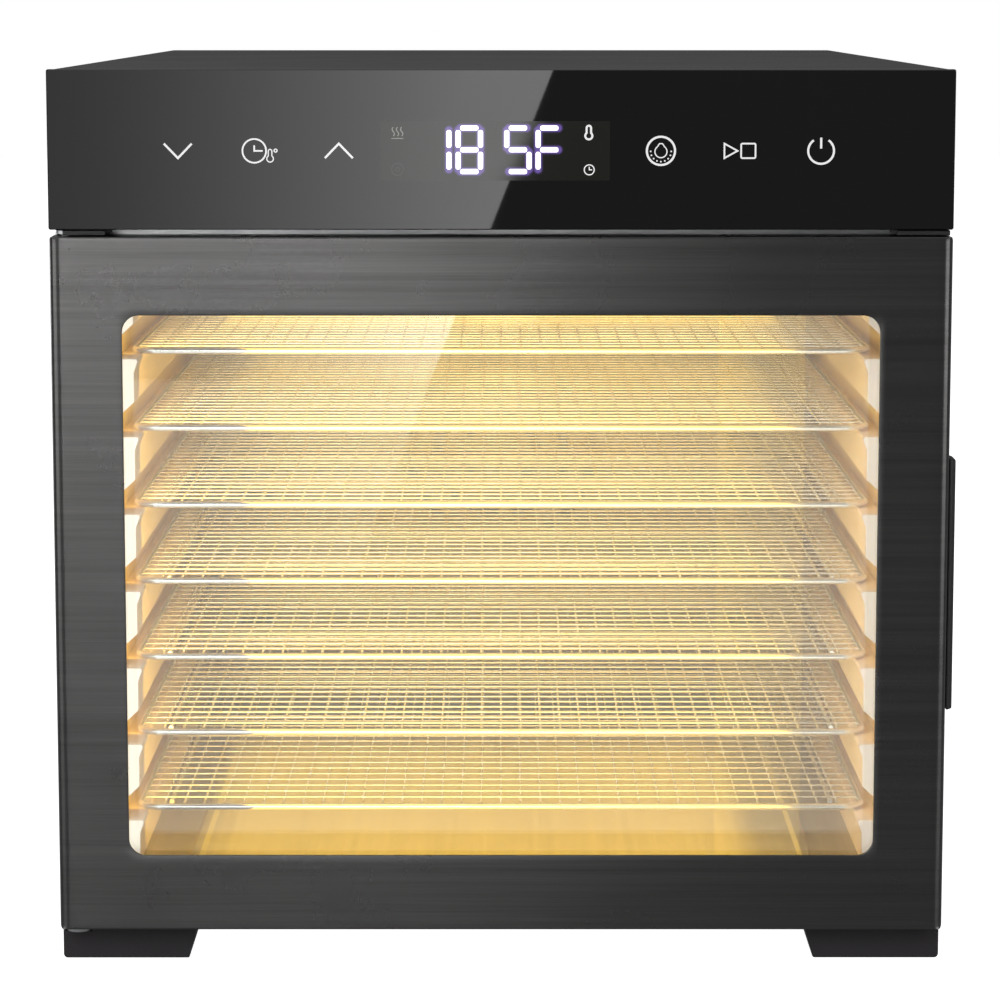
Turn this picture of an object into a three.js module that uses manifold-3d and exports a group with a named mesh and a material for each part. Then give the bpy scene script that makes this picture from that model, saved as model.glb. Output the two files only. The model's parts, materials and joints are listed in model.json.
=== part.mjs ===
// A countertop food dehydrator: a sheet-metal case with a touch control panel, a glazed door hinged on
// the left, seven wire trays on moulded rails, and a fan, ring heater and motor behind the drying space.
// Millimetres, +Z up, the door faces -Y. The origin is under the middle of the whole, at table height.

import * as THREE from 'three';
import { mergeVertices } from 'three/addons/utils/BufferGeometryUtils.js';
import Module from 'manifold-3d';

const wasm = await Module();
wasm.setup();

// ---------- driving sizes ----------

const clearance = 0.3;            // between pieces that touch or pass each other
const caseWidth = 344.8;          // over the side sheets
const overallDepth = 450;         // control glass to the tip of the cord gland
const overallHeight = 349;
const footHeight = 13.5;          // table to the underside of the base plate
const panelHeight = 60.9;         // control panel
const panelGap = 2.7;             // between control panel and door
const sheet = 1.0;                // case sheet metal
const baseSheet = 1.2;

const doorOverhang = 0.4;         // door beyond the case at each side
const doorThickness = 22;
const doorSkin = 0.9;
const doorReturn = 14;            // depth of the skin's folded edges
const doorEdgeRadius = 4.5;
const doorFloorGap = 0.3;         // door above the underside of the base plate
const windowMarginX = 27.8;       // skin edge to window at the sides
const windowMarginBottom = 29.9;
const windowMarginTop = 30.1;
const windowRadius = 6.5;
const paneThickness = 4;
const paneLap = 6;                // pane beyond the inner frame's opening
const frameInset = 2;             // inner frame inside the skin's outline
const frameReveal = 5;            // inner frame's opening beyond the window
const sealWidth = 4.5;
const sealDepth = 4.2;
const pullLength = 98.6;
const pullProjection = 3;
const pullWidth = 13;

const hingeInsetX = 6.5;          // pin axis from the door's left edge
const hingeInsetY = 10;           // pin axis behind the door's face
const pinRadius = 2.5;
const pinLength = 11;
const bushWall = 1.4;
const bushLength = 9;
const bracketSheet = 1.5;
const hingeTabRoom = 0.4;         // between the front frame and the hinge tab over it
const bracketTabRadius = 4.8;

const glassThickness = 3;         // control glass
const housingWall = 2.2;
const housingDepth = 26;
const displayWidth = 87.2;
const displayHeight = 22.5;
const displayOffsetX = -2.3;
const displayOffsetZ = -0.4;      // from the panel's middle height

const trayCount = 7;
const traySideSpace = 25.9;       // case side to tray
const trayRearSpace = 65.3;       // tray to the case's rear face
const trayRadius = 10;
const trayWire = 2.7;             // frame wire
const trayGridWire = 1.2;
const trayFrontInset = 38.7;      // tray frame behind the door's face
const lowestTrayRise = 19.2;      // cavity floor to the centre of the lowest tray's frame wire
const topTrayDrop = 25;           // cavity ceiling to the centre of the top tray's frame wire
const trayColumns = 7;
const trayRows = 8;

const wallLap = 3.3;              // how far the side walls' raised parts reach over the tray
const ledgeLap = 4.9;             // how far the ledges reach under the tray
const grooveRoom = 3.5;           // tray to the bottom of its groove, at each side
const ledgeDrop = 5.2;            // height of the ledge's sloped underside
const grooveRise = 7.5;           // upright part of the groove
const grooveTop = 13.8;           // top of the groove's sloped ceiling
const wallThickness = 2.2;
const floorRise = 20.7;           // underside of the base plate to the cavity floor
const ceilingDrop = 22.8;         // door top to the cavity ceiling
const linerSheet = 0.8;
const beadInset = 24.5;           // pressed beads in the floor, from the tray's side
const beadWidth = 6;
const beadHeight = 1.5;

const intakeRings = [{ radius: 18, slots: 6 }, { radius: 32, slots: 9 }, { radius: 46, slots: 12 }];
const intakeSlot = 5;             // width of a curved slot in the baffle
const intakeBridge = 7;           // metal left between two of them
const returnPairs = 9;            // pairs of return slots at each side of the baffle
const returnPitch = 22;
const returnX = 124;
const returnHalfLength = 9;
const returnHalfHeight = 2;
const plenumDepth = 30;
const trayRearGap = 6;
const impellerRadius = 60;
const impellerDepth = 16;
const impellerRoom = 7;           // baffle's face to the impeller
const impellerSheet = 1.4;
const bladeRoot = 8;              // free ring between the hub and the blades
const bladeSweep = 14;            // how far a blade's tip leads its root
const bladeThickness = 1.6;
const hubRadius = 11;
const bladeCount = 12;
const shaftRadius = 2.5;
const motorRadius = 26;
const motorDepth = 20;
const motorEar = 10;              // how far each ear stands out
const motorEarHalf = 7;
const motorEarSheet = 2.5;
const shaftStart = 2;             // shaft behind the impeller's face
const shaftEnd = 6;               // shaft short of the motor's rear
const heaterRadius = 82;
const heaterTube = 3.3;
const heaterRoom = 15;            // baffle's face to the heater's middle
const heaterLegs = [-9, 9];
const heaterLegLength = 14;       // beyond the plenum's back
const clipSheet = 1.5;
const clipHalfHeight = 4;
const clipLip = 3;                // fork beyond the tube's middle
const cutoutX = 64;
const cutoutDrop = 22;            // cavity ceiling to the cut-out's middle
const cutoutRadius = 8;
const cutoutDepth = 8;
const probeX = 96;
const probeDrop = 24;
const probeRadius = 2.2;
const probeFront = 4;             // probe before and behind the baffle
const probeBack = 22;
const lampRadius = 16;
const lampOffsetY = -60;
const lampDrop = 5.5;             // lens below the ceiling sheet's upper face, less its flange
const lampFlange = 0.6;
const lampHolderHeight = 9;
const lampStrapHalfLength = 26;
const lampStrapHalfWidth = 7;
const lampStrapSheet = 1.5;
const powerBoardY = 130;          // middle of the mains board
const powerBoardWidth = 120;
const powerBoardDepth = 80;
const powerBoardRise = 8;         // over the ceiling sheet
const pillarInset = 5;
const powerBlocks = [             // transformer, two relays and the terminal block, from the board's middle
  { x: -31, y: -15, width: 34, depth: 30, height: 26 },
  { x: 16, y: -20, width: 20, depth: 16, height: 17 },
  { x: 42, y: -20, width: 20, depth: 16, height: 17 },
  { x: -41, y: 24, width: 22, depth: 12, height: 14 },
];
const powerCans = [{ x: 0, y: 22, radius: 7, height: 22 }, { x: 22, y: 22, radius: 6, height: 18 }];

const glandProjection = 8;
const cordBore = 3.7;
const rearFlange = 12;
const screwRadius = 1.6;
const screwHead = 3.4;
const footWidth = 53;
const footDepth = 58;
const footSlope = 3.5;            // how far the inner side leans in over the foot's height
const footInsetY = 8;
const footWall = 6;               // front, rear and outer walls of the hollow foot
const footInnerWall = 10;         // its sloped inner wall, at the top
const footRoof = 5;
const footRibFrom = 26;           // rib across the hollow, from the foot's outer side
const footRibWidth = 2;

const shellBend = 3;              // radius of the folded shell's long edges
const screwShares = [0.08, 0.5, 0.92]; // heights of the rear screws, as shares of the shell's
const baseVentPitch = 70;
const baseVentLength = 50;
const baseVentWidth = 4;
const baseVentY = 62;
const baseLip = 10;               // upturned sides of the base plate
const intakeRadius = 50;          // field of slots over the fan
const intakeFlattening = 0.94;    // keeps the outermost rows long enough to cut
const slotBridge = 3;             // metal left between two slots of a row
const ventRows = 11;
const ventRowPitch = 8;
const ventHalfHeight = 1.6;
const upperVentRows = 5;
const upperVentX = 75;
const upperVentHalfLength = 32;
const glandX = 120;
const glandZ = 52;
const glandBarrel = 6.6;
const glandInside = 9;            // barrel behind the rear panel
const glandCollar = 3;            // collar beyond the barrel
const glandCollarHeight = 2.2;
const screwLength = 4;            // beyond the shell's flange
const screwHeadHeight = 2.1;
const braceDrop = 22;             // upper hinge bracket's fold behind the front frame
const coverInset = 2;             // corner covers behind the control glass
const boardHalfWidth = 142;
const boardHalfHeight = 20;
const boardSheet = 1.6;
const displayDepth = 6.5;
const keyPadRadius = 6;
const chipWidth = 26;
const chipHeight = 18;
const chipX = 33;
const chipDepth = 5;
const slotRound = 0.95;           // end radius of a slot, as a share of its half width

// ---------- planes worked out from them ----------

const frontY = -overallDepth / 2;
const rearY = overallDepth / 2;
const rearFace = rearY - glandProjection;
const halfCase = caseWidth / 2;
const halfDoor = halfCase + doorOverhang;
const panelBottom = overallHeight - panelHeight;
const panelMiddle = panelBottom + panelHeight / 2;
const doorBottom = footHeight + doorFloorGap;
const doorTop = panelBottom - panelGap;
const doorMiddle = (doorBottom + doorTop) / 2;
const doorBack = frontY + doorThickness;
const bodyFront = doorBack + 1.5;
const windowHalf = halfDoor - windowMarginX;
const windowBottom = doorBottom + windowMarginBottom;
const windowTop = doorTop - windowMarginTop;
const hingeX = -halfDoor + hingeInsetX;
const hingeY = frontY + hingeInsetY;
const panelBack = frontY + glassThickness + clearance;
const shellRear = rearFace - sheet - clearance;
const baseTop = footHeight + baseSheet;
const halfTray = halfCase - traySideSpace;
const trayFront = frontY + trayFrontInset;
const trayRear = rearFace - trayRearSpace;
const wallFace = halfTray - wallLap;
const ledgeTip = halfTray - ledgeLap;
const grooveBack = halfTray + grooveRoom;
const mouthHalfWidth = grooveBack + 1;
const beadOffset = halfTray - beadInset;
const cavityFloor = footHeight + floorRise;
const cavityCeiling = doorTop - ceilingDrop;
const lowestTray = cavityFloor + lowestTrayRise;
const trayPitch = (cavityCeiling - topTrayDrop - lowestTray) / (trayCount - 1);
const baffleY = trayRear + trayRearGap;
const plenumY = baffleY + plenumDepth;
const wallFrontY = bodyFront + baseSheet + clearance;
const fanZ = (cavityFloor + cavityCeiling) / 2;
const wallOuter = grooveBack + wallThickness;
const rearPlatesLow = cavityFloor + beadHeight + clearance;
const tabZ = doorTop + (panelGap - bracketSheet) / 2;
const hingeFrameTop = tabZ - hingeTabRoom;

// ---------- finishes ----------

const finishes = {
  darkSheet: { color: 0x454546, roughness: 0.55, metalness: 0.3 },
  brushedDark: { color: 0x4a4849, roughness: 0.34, metalness: 0.9 },
  blackGlass: { color: 0x1b1a1f, roughness: 0.06, metalness: 0 },
  clearGlass: { color: 0xdfe8e6, roughness: 0.05, metalness: 0 },
  blackPlastic: { color: 0x222224, roughness: 0.5, metalness: 0 },
  footPlastic: { color: 0x343134, roughness: 0.6, metalness: 0 },
  stainless: { color: 0xb9b9b8, roughness: 0.3, metalness: 0.95 },
  creamPlastic: { color: 0xf1e4d0, roughness: 0.45, metalness: 0 },
  trayWire: { color: 0xdfe0e0, roughness: 0.2, metalness: 0.95 },
  galvanised: { color: 0x9da1a3, roughness: 0.45, metalness: 0.8 },
  silicone: { color: 0x3a3a3b, roughness: 0.7, metalness: 0 },
  warmLens: { color: 0xffe0a8, roughness: 0.3, metalness: 0 },
  circuitBoard: { color: 0x1f5a34, roughness: 0.5, metalness: 0 },
  displayFace: { color: 0x2f3029, roughness: 0.2, metalness: 0 },
  brass: { color: 0xb08d4c, roughness: 0.35, metalness: 0.9 },
  heaterSheath: { color: 0x5f5a55, roughness: 0.5, metalness: 0.7 },
  magnetBlack: { color: 0x2b2a2a, roughness: 0.6, metalness: 0.2 },
};

const dehydrator = new THREE.Group();
dehydrator.position.x = -pullProjection / 2;

function place(name, geometry, finish) {
  const mesh = new THREE.Mesh(geometry, new THREE.MeshStandardMaterial(finishes[finish]));
  mesh.name = name;
  dehydrator.add(mesh);
  return mesh;
}

// ---------- solids ----------

const count = (n) => Array.from({ length: n }, (_, i) => i);

function box(x0, x1, y0, y1, z0, z1) {
  const geometry = new THREE.BoxGeometry(x1 - x0, y1 - y0, z1 - z0);
  return geometry.translate((x0 + x1) / 2, (y0 + y1) / 2, (z0 + z1) / 2);
}

function polygon(points) {
  return new THREE.Shape(points.map(([x, y]) => new THREE.Vector2(x, y)));
}

function rectangle(x0, x1, y0, y1) {
  return polygon([[x0, y0], [x1, y0], [x1, y1], [x0, y1]]);
}

function roundedRect(x0, x1, y0, y1, radius, path = new THREE.Shape()) {
  const quarter = Math.PI / 2;
  path.moveTo(x0 + radius, y0);
  path.absarc(x1 - radius, y0 + radius, radius, -quarter, 0);
  path.absarc(x1 - radius, y1 - radius, radius, 0, quarter);
  path.absarc(x0 + radius, y1 - radius, radius, quarter, 2 * quarter);
  path.absarc(x0 + radius, y0 + radius, radius, 2 * quarter, 3 * quarter);
  return path;
}

function disc(x, y, radius, path = new THREE.Shape()) {
  path.absarc(x, y, radius, 0, 2 * Math.PI);
  return path;
}

function extrude(shape, depth, curveSegments) {
  return new THREE.ExtrudeGeometry(shape, { depth, curveSegments, bevelEnabled: false });
}

// A shape drawn in X and Z, running along Y.
function alongY(shape, y0, y1, segments = 6) {
  return extrude(shape, y1 - y0, segments).rotateX(Math.PI / 2).translate(0, y1, 0);
}

// A shape drawn in Y and Z, running along X.
function alongX(shape, x0, x1, segments = 6) {
  return extrude(shape, x1 - x0, segments).rotateX(Math.PI / 2).rotateZ(Math.PI / 2).translate(x0, 0, 0);
}

// A shape drawn in X and Y, running along Z.
function alongZ(shape, z0, z1, segments = 6) {
  return extrude(shape, z1 - z0, segments).translate(0, 0, z0);
}

function rodY(x, z, radius, y0, y1, segments = 20) {
  return new THREE.CylinderGeometry(radius, radius, y1 - y0, segments).translate(x, (y0 + y1) / 2, z);
}

function rodZ(x, y, radius, z0, z1, segments = 20) {
  const geometry = new THREE.CylinderGeometry(radius, radius, z1 - z0, segments);
  return geometry.rotateX(Math.PI / 2).translate(x, y, (z0 + z1) / 2);
}

function toManifold(geometry) {
  const bare = geometry.clone();
  bare.deleteAttribute('normal');
  bare.deleteAttribute('uv');
  const merged = mergeVertices(bare, 1e-4);
  const vertProperties = new Float32Array(merged.attributes.position.array);
  const triVerts = new Uint32Array(merged.index.array);
  return new wasm.Manifold(new wasm.Mesh({ numProp: 3, vertProperties, triVerts }));
}

function toGeometry(solid) {
  const mesh = solid.getMesh();
  const geometry = new THREE.BufferGeometry();
  geometry.setAttribute('position', new THREE.BufferAttribute(mesh.vertProperties, 3));
  geometry.setIndex(new THREE.BufferAttribute(mesh.triVerts, 1));
  return geometry;
}

function join(...geometries) {
  return toGeometry(geometries.map(toManifold).reduce((whole, piece) => whole.add(piece)));
}

function cut(geometry, ...tools) {
  return toGeometry(tools.map(toManifold).reduce((rest, tool) => rest.subtract(tool), toManifold(geometry)));
}

// ---------- case ----------

// Top and two sides in one folded sheet, cut back at the front for the door, with a flange at the rear.
function outerShell() {
  const bend = shellBend;
  const low = baseTop + clearance;
  const outer = roundedRect(-halfCase, halfCase, low - 2 * bend, overallHeight, bend);
  const inner = roundedRect(-halfCase + sheet, halfCase - sheet, low - 3 * bend, overallHeight - sheet,
    bend - sheet);
  const skin = cut(alongY(outer, panelBack, shellRear), alongY(inner, panelBack - 1, shellRear + 1));
  const flangeOuter = box(-halfCase + sheet / 2, halfCase - sheet / 2, shellRear - sheet, shellRear, low,
    overallHeight - sheet / 2);
  const flangeHalf = halfCase - sheet - rearFlange;
  const flangeInner = box(-flangeHalf, flangeHalf, shellRear - 2 * sheet,
    shellRear + 1, low - 1, overallHeight - sheet - rearFlange);
  const doorRoom = box(-halfCase - 1, halfCase + 1, panelBack - 1, bodyFront, low - 20, panelBottom);
  const belowBase = box(-halfCase - 1, halfCase + 1, panelBack - 2, shellRear + 2, low - 30, low);
  return cut(join(skin, cut(flangeOuter, flangeInner)), doorRoom, belowBase, ...screwHoles());
}

const screwX = halfCase - sheet - rearFlange / 2;
const screwSpots = [-1, 1].flatMap((side) => screwShares.map((share) => ({
  x: side * screwX,
  z: baseTop + share * (overallHeight - baseTop),
})));

function screwHoles() {
  return screwSpots.map(({ x, z }) => rodY(x, z, screwRadius + clearance, shellRear - 5, rearFace + 5, 12));
}

function basePlate() {
  const plate = box(-halfCase, halfCase, bodyFront, shellRear, footHeight, baseTop);
  const lip = halfCase - sheet - clearance;
  const sides = [-1, 1].map((side) => {
    const x = side > 0 ? lip - baseSheet : -lip;
    return box(x, x + baseSheet, wallFrontY, shellRear - 2 * sheet, footHeight + baseSheet / 2,
      baseTop + baseLip);
  });
  const vents = [-1, 0, 1].map((k) => {
    const x = k * baseVentPitch;
    const slot = roundedRect(x - baseVentLength / 2, x + baseVentLength / 2, baseVentY - baseVentWidth / 2,
      baseVentY + baseVentWidth / 2, slotRound * baseVentWidth / 2);
    return alongZ(slot, footHeight - 1, baseTop + 1, 3);
  });
  return cut(join(plate, ...sides), ...vents);
}

// The stainless face around the mouth of the drying space, stepped down at the corners for the hinge.
function frontFrame() {
  const edge = halfCase - sheet - clearance;
  const step = mouthHalfWidth;
  const high = panelBottom - clearance;
  const face = polygon([
    [-edge, baseTop + clearance], [edge, baseTop + clearance], [edge, hingeFrameTop], [step, hingeFrameTop],
    [step, high], [-step, high], [-step, hingeFrameTop], [-edge, hingeFrameTop],
  ]);
  const mouth = new THREE.Path();
  face.holes.push(roundedRect(-mouthHalfWidth, mouthHalfWidth, cavityFloor, cavityCeiling, 3, mouth));
  return alongY(face, bodyFront, bodyFront + baseSheet);
}

function slotRow(centre, z, halfLength, halfHeight) {
  return roundedRect(centre - halfLength, centre + halfLength, z - halfHeight, z + halfHeight,
    halfHeight * slotRound, new THREE.Path());
}

function rearPanel() {
  const plate = roundedRect(-halfCase, halfCase, footHeight, overallHeight, shellBend);
  const field = intakeRadius ** 2;
  count(ventRows).forEach((row) => {
    const dz = (row - (ventRows - 1) / 2) * ventRowPitch;
    const chord = Math.sqrt(field - (dz * intakeFlattening) ** 2);
    const half = chord / 2 - slotBridge / 2;
    [-1, 1].forEach((side) => plate.holes.push(slotRow(side * chord / 2, fanZ + dz, half, ventHalfHeight)));
  });
  count(upperVentRows).forEach((row) => {
    const z = panelMiddle + (row - (upperVentRows - 1) / 2) * ventRowPitch;
    [-1, 1].forEach((side) => {
      plate.holes.push(slotRow(side * upperVentX, z, upperVentHalfLength, ventHalfHeight));
    });
  });
  const gland = rodY(glandX, glandZ, glandBarrel + clearance, rearFace - 5, rearFace + 5, 24);
  return cut(alongY(plate, rearFace - sheet, rearFace, 1), gland, ...screwHoles());
}

// A round cord bushing with a collar outside, open right through.
function cordGland() {
  const inside = rearFace - sheet - glandInside;
  const collar = glandBarrel + glandCollar;
  const profile = [
    [cordBore, inside], [glandBarrel - 0.8, inside], [glandBarrel, inside + 1],
    [glandBarrel, rearFace + clearance], [collar, rearFace + clearance],
    [collar, rearFace + glandCollarHeight], [glandBarrel, rearFace + glandCollarHeight + 1.2],
    [cordBore + 1.4, rearY - 0.6],
    [cordBore + 0.8, rearY], [cordBore, rearY], [cordBore, inside],
  ];
  return lathe(profile, 24).translate(glandX, 0, glandZ);
}

// A profile of [radius, height] pairs turned about Y, listed with the solid on its left.
function lathe(profile, segments) {
  return new THREE.LatheGeometry(profile.map(([r, y]) => new THREE.Vector2(r, y)), segments);
}

function rearScrew() {
  const tip = shellRear - screwLength;
  const head = rearFace + clearance;
  return lathe([
    [0, tip], [screwRadius * 0.6, tip], [screwRadius, tip + 1.4], [screwRadius, head], [screwHead, head],
    [screwHead, head + 0.4 * screwHeadHeight], [screwHead * 0.72, head + 0.86 * screwHeadHeight],
    [0, head + screwHeadHeight],
  ], 12);
}

// A moulded foot with its inner side sloped. The front left one has a pocket for the lower hinge tab.
function foot(side, end) {
  const top = footHeight - clearance;
  const section = polygon([
    [side * halfCase, 1], [side * (halfCase - 1), 0], [side * (halfCase - footWidth + footSlope), 0],
    [side * (halfCase - footWidth), top], [side * halfCase, top],
  ]);
  const start = end < 0 ? frontY + footInsetY : rearFace - footInsetY - footDepth;
  const block = alongY(section, start, start + footDepth);
  const hollow = box(
    side > 0 ? halfCase - footWidth + footInnerWall : -halfCase + footWall,
    side > 0 ? halfCase - footWall : -halfCase + footWidth - footInnerWall,
    start + footWall, start + footDepth - footWall, -1, top - footRoof);
  const ribMiddle = side * (halfCase - footRibFrom - footRibWidth / 2);
  const ribs = box(ribMiddle - footRibWidth / 2, ribMiddle + footRibWidth / 2, start + footWall / 2,
    start + footDepth - footWall / 2, 0, top - footRoof / 2);
  const shellFoot = join(cut(block, hollow), ribs);
  if (side > 0 || end > 0) {
    return shellFoot;
  }
  const wide = bracketTabRadius + clearance;
  return cut(shellFoot, box(hingeX - wide, hingeX + wide, frontY, lowerTabEnd + clearance,
    lowerTabZ - clearance, footHeight + 1));
}

// ---------- hinges ----------

const lowerTabZ = footHeight - 2.3;
const lowerTabEnd = bodyFront + 20;

function hingeTab(z0, endY) {
  const r = bracketTabRadius;
  const tab = new THREE.Shape();
  tab.absarc(hingeX, hingeY, r, Math.PI, 2 * Math.PI);
  tab.lineTo(hingeX + r, endY);
  tab.lineTo(hingeX - r, endY);
  tab.holes.push(disc(hingeX, hingeY, pinRadius + clearance, new THREE.Path()));
  return alongZ(tab, z0, z0 + bracketSheet, 10);
}

// The upper bracket's tab passes over the stepped front frame and is folded down behind it.
function upperHingeBracket() {
  const back = bodyFront + baseSheet + clearance;
  const fold = box(hingeX - bracketTabRadius, hingeX + bracketTabRadius, back, back + bracketSheet,
    hingeFrameTop - braceDrop, tabZ + bracketSheet);
  return join(hingeTab(tabZ, back + bracketSheet), fold);
}

function lowerHingeBracket() {
  return hingeTab(lowerTabZ, lowerTabEnd);
}

const upperPinTop = tabZ + bracketSheet;
const upperPinLow = upperPinTop - pinLength;
const lowerPinLow = lowerTabZ;
const lowerPinTop = lowerPinLow + pinLength;
const bushRadius = pinRadius + clearance + bushWall;

function hingePin(low, high) {
  return rodZ(hingeX, hingeY, pinRadius, low, high, 20);
}

function hingeBush(low, high) {
  const ring = disc(hingeX, hingeY, bushRadius);
  ring.holes.push(disc(hingeX, hingeY, pinRadius + clearance, new THREE.Path()));
  return alongZ(ring, low, high, 10);
}

// Covers that fill the gap over the door's corners. The left one leaves the hinge tab showing.
function cornerCover(side) {
  const front = frontY + coverInset;
  const back = bodyFront - clearance;
  const edge = halfCase - sheet;
  const z0 = doorTop + 0.4;
  const z1 = panelBottom - clearance;
  const lipBack = hingeY - bracketTabRadius - clearance;
  const clearOfTab = hingeX + bracketTabRadius + clearance;
  const outline = side > 0
    ? [[mouthHalfWidth, front], [edge, front], [edge, back], [mouthHalfWidth, back]]
    : [[-mouthHalfWidth, front], [-mouthHalfWidth, back], [clearOfTab, back], [clearOfTab, lipBack],
      [hingeX - 1, lipBack], [hingeX - 1, front]];
  return alongZ(polygon(outline), z0, z1);
}

// ---------- control panel ----------

function controlHousing() {
  const edge = halfCase - sheet - clearance;
  const top = overallHeight - sheet - clearance;
  const back = panelBack + housingDepth;
  const outer = alongY(roundedRect(-edge, edge, panelBottom, top, 3), panelBack, back, 3);
  const shell = cut(outer, box(-edge + housingWall, edge - housingWall, panelBack + housingWall, back + 1,
    panelBottom + housingWall, top - housingWall));
  const w = displayWidth / 2 + 1;
  const h = displayHeight / 2 + 1;
  const z = panelMiddle + displayOffsetZ;
  const aperture = box(displayOffsetX - w, displayOffsetX + w, panelBack - 1, panelBack + housingWall + 1,
    z - h,
    z + h);
  return cut(shell, aperture);
}

function controlGlass() {
  const pane = roundedRect(-halfCase, halfCase, panelBottom, overallHeight, 0.8);
  return alongY(pane, frontY, frontY + glassThickness, 2);
}

function displayModule() {
  const z = panelMiddle + displayOffsetZ;
  const y0 = panelBack + clearance;
  return box(displayOffsetX - displayWidth / 2, displayOffsetX + displayWidth / 2, y0, y0 + displayDepth,
    z - displayHeight / 2, z + displayHeight / 2);
}

const keySpots = [-122.7, -90, -61.6, 61, 90.3, 121.6];

// The touch board, with a sprung pad behind each key.
function controlBoard() {
  const z = panelMiddle + displayOffsetZ;
  const y0 = panelBack + displayDepth + 2 * clearance;
  const middle = y0 + boardSheet / 2;
  const board = box(-boardHalfWidth, boardHalfWidth, y0, y0 + boardSheet, z - boardHalfHeight,
    z + boardHalfHeight);
  const pads = keySpots.map((x) => rodY(x, z, keyPadRadius, panelBack + housingWall + clearance, middle, 16));
  const chip = box(chipX - chipWidth / 2, chipX + chipWidth / 2, middle, y0 + chipDepth, z - chipHeight / 2,
    z + chipHeight / 2);
  return join(board, chip, ...pads);
}

// ---------- drying space ----------

const ledgeHeights = count(trayCount).map((i) => lowestTray + i * trayPitch - trayWire / 2 - clearance);

// One side wall's inner contour as [half width, height], from the floor up, with a ledge for every tray.
function wallContour() {
  const points = [[wallFace, cavityFloor + clearance]];
  ledgeHeights.forEach((z) => {
    points.push([wallFace, z - ledgeDrop]);
    points.push([ledgeTip, z - 1]);
    points.push([ledgeTip + 0.5, z]);
    points.push([grooveBack, z]);
    points.push([grooveBack, z + grooveRise]);
    points.push([wallFace, z + grooveTop]);
  });
  points.push([wallFace, cavityCeiling - clearance]);
  return points;
}

// Every corner moved outwards by the wall thickness, along the bisector of its two edges.
function thicken(points, thickness) {
  const normals = points.slice(1).map(([x, y], i) => {
    const dx = x - points[i][0];
    const dy = y - points[i][1];
    const length = Math.hypot(dx, dy);
    return [dy / length, -dx / length];
  });
  const back = points.map(([x, y], i) => {
    const a = normals[Math.max(i - 1, 0)];
    const b = normals[Math.min(i, normals.length - 1)];
    const scale = thickness / (1 + a[0] * b[0] + a[1] * b[1]);
    return [x + (a[0] + b[0]) * scale, y + (a[1] + b[1]) * scale];
  });
  return [...points, ...back.reverse()];
}

// A moulded wall, closed at the front by a flange that reaches behind the front frame.
function sideWall(side) {
  const contour = wallContour();
  const outline = thicken(contour, wallThickness).map(([x, z]) => [side * x, z]);
  const flange = [...contour, [wallOuter, cavityCeiling - clearance], [wallOuter, cavityFloor + clearance]]
    .map(([x, z]) => [side * x, z]);
  return join(alongY(polygon(outline), wallFrontY, baffleY - clearance),
    alongY(polygon(flange), wallFrontY, wallFrontY + wallThickness));
}

function floorPlate() {
  const rise = cavityFloor;
  const low = cavityFloor - linerSheet;
  const half = wallOuter;
  const bead = (x) => [
    [x - beadWidth / 2, rise], [x - beadWidth / 2 + 1.5, rise + beadHeight],
    [x + beadWidth / 2 - 1.5, rise + beadHeight], [x + beadWidth / 2, rise],
  ];
  const under = (x) => [
    [x + beadWidth / 2 - 0.6, low], [x + beadWidth / 2 - 2, low + beadHeight],
    [x - beadWidth / 2 + 2, low + beadHeight], [x - beadWidth / 2 + 0.6, low],
  ];
  const outline = [
    [-half, rise], ...bead(-beadOffset), ...bead(beadOffset), [half, rise], [half, low], ...under(beadOffset),
    ...under(-beadOffset), [-half, low],
  ];
  return alongY(polygon(outline), wallFrontY, plenumY + baseSheet);
}

function ceilingPlate() {
  const plate = rectangle(-wallOuter, wallOuter, wallFrontY, plenumY + baseSheet);
  plate.holes.push(disc(0, lampOffsetY, lampRadius + clearance, new THREE.Path()));
  return alongZ(plate, cavityCeiling, cavityCeiling + linerSheet, 12);
}

// The rear wall of the drying space: rings of slots where air is drawn in, upright slots where it returns.
function airBaffle() {
  const plate = rectangle(-wallOuter, wallOuter, rearPlatesLow, cavityCeiling - clearance);
  intakeRings.forEach(({ radius, slots }) => {
    count(slots).forEach((k) => {
      const start = (k / slots) * 2 * Math.PI;
      const span = 2 * Math.PI / slots - intakeBridge / radius;
      const slot = new THREE.Path();
      slot.absarc(0, fanZ, radius + intakeSlot / 2, start, start + span);
      slot.absarc(0, fanZ, radius - intakeSlot / 2, start + span, start, true);
      slot.closePath();
      plate.holes.push(slot);
    });
  });
  [-1, 1].forEach((side) => {
    count(returnPairs).forEach((k) => {
      const z = fanZ + (k - (returnPairs - 1) / 2) * returnPitch;
      plate.holes.push(slotRow(side * returnX, z, returnHalfLength, returnHalfHeight));
      plate.holes.push(slotRow(side * returnX, z + 4 * returnHalfHeight, returnHalfLength, returnHalfHeight));
    });
  });
  const probe = rodY(probeX, probeZ, probeRadius + clearance, baffleY - 5, baffleY + 5, 12);
  return cut(alongY(plate, baffleY, baffleY + linerSheet, 1), probe);
}

function plenumBack() {
  const plate = rectangle(-wallOuter, wallOuter, rearPlatesLow, cavityCeiling - clearance);
  const holes = [rodY(0, fanZ, shaftRadius + 1.5, plenumY - 5, plenumY + 5, 16)];
  heaterLegs.forEach((x) => {
    holes.push(rodY(x, fanZ - heaterLegDrop, heaterTube + 1, plenumY - 5, plenumY + 5, 16));
  });
  return cut(alongY(plate, plenumY, plenumY + baseSheet), ...holes);
}

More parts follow.
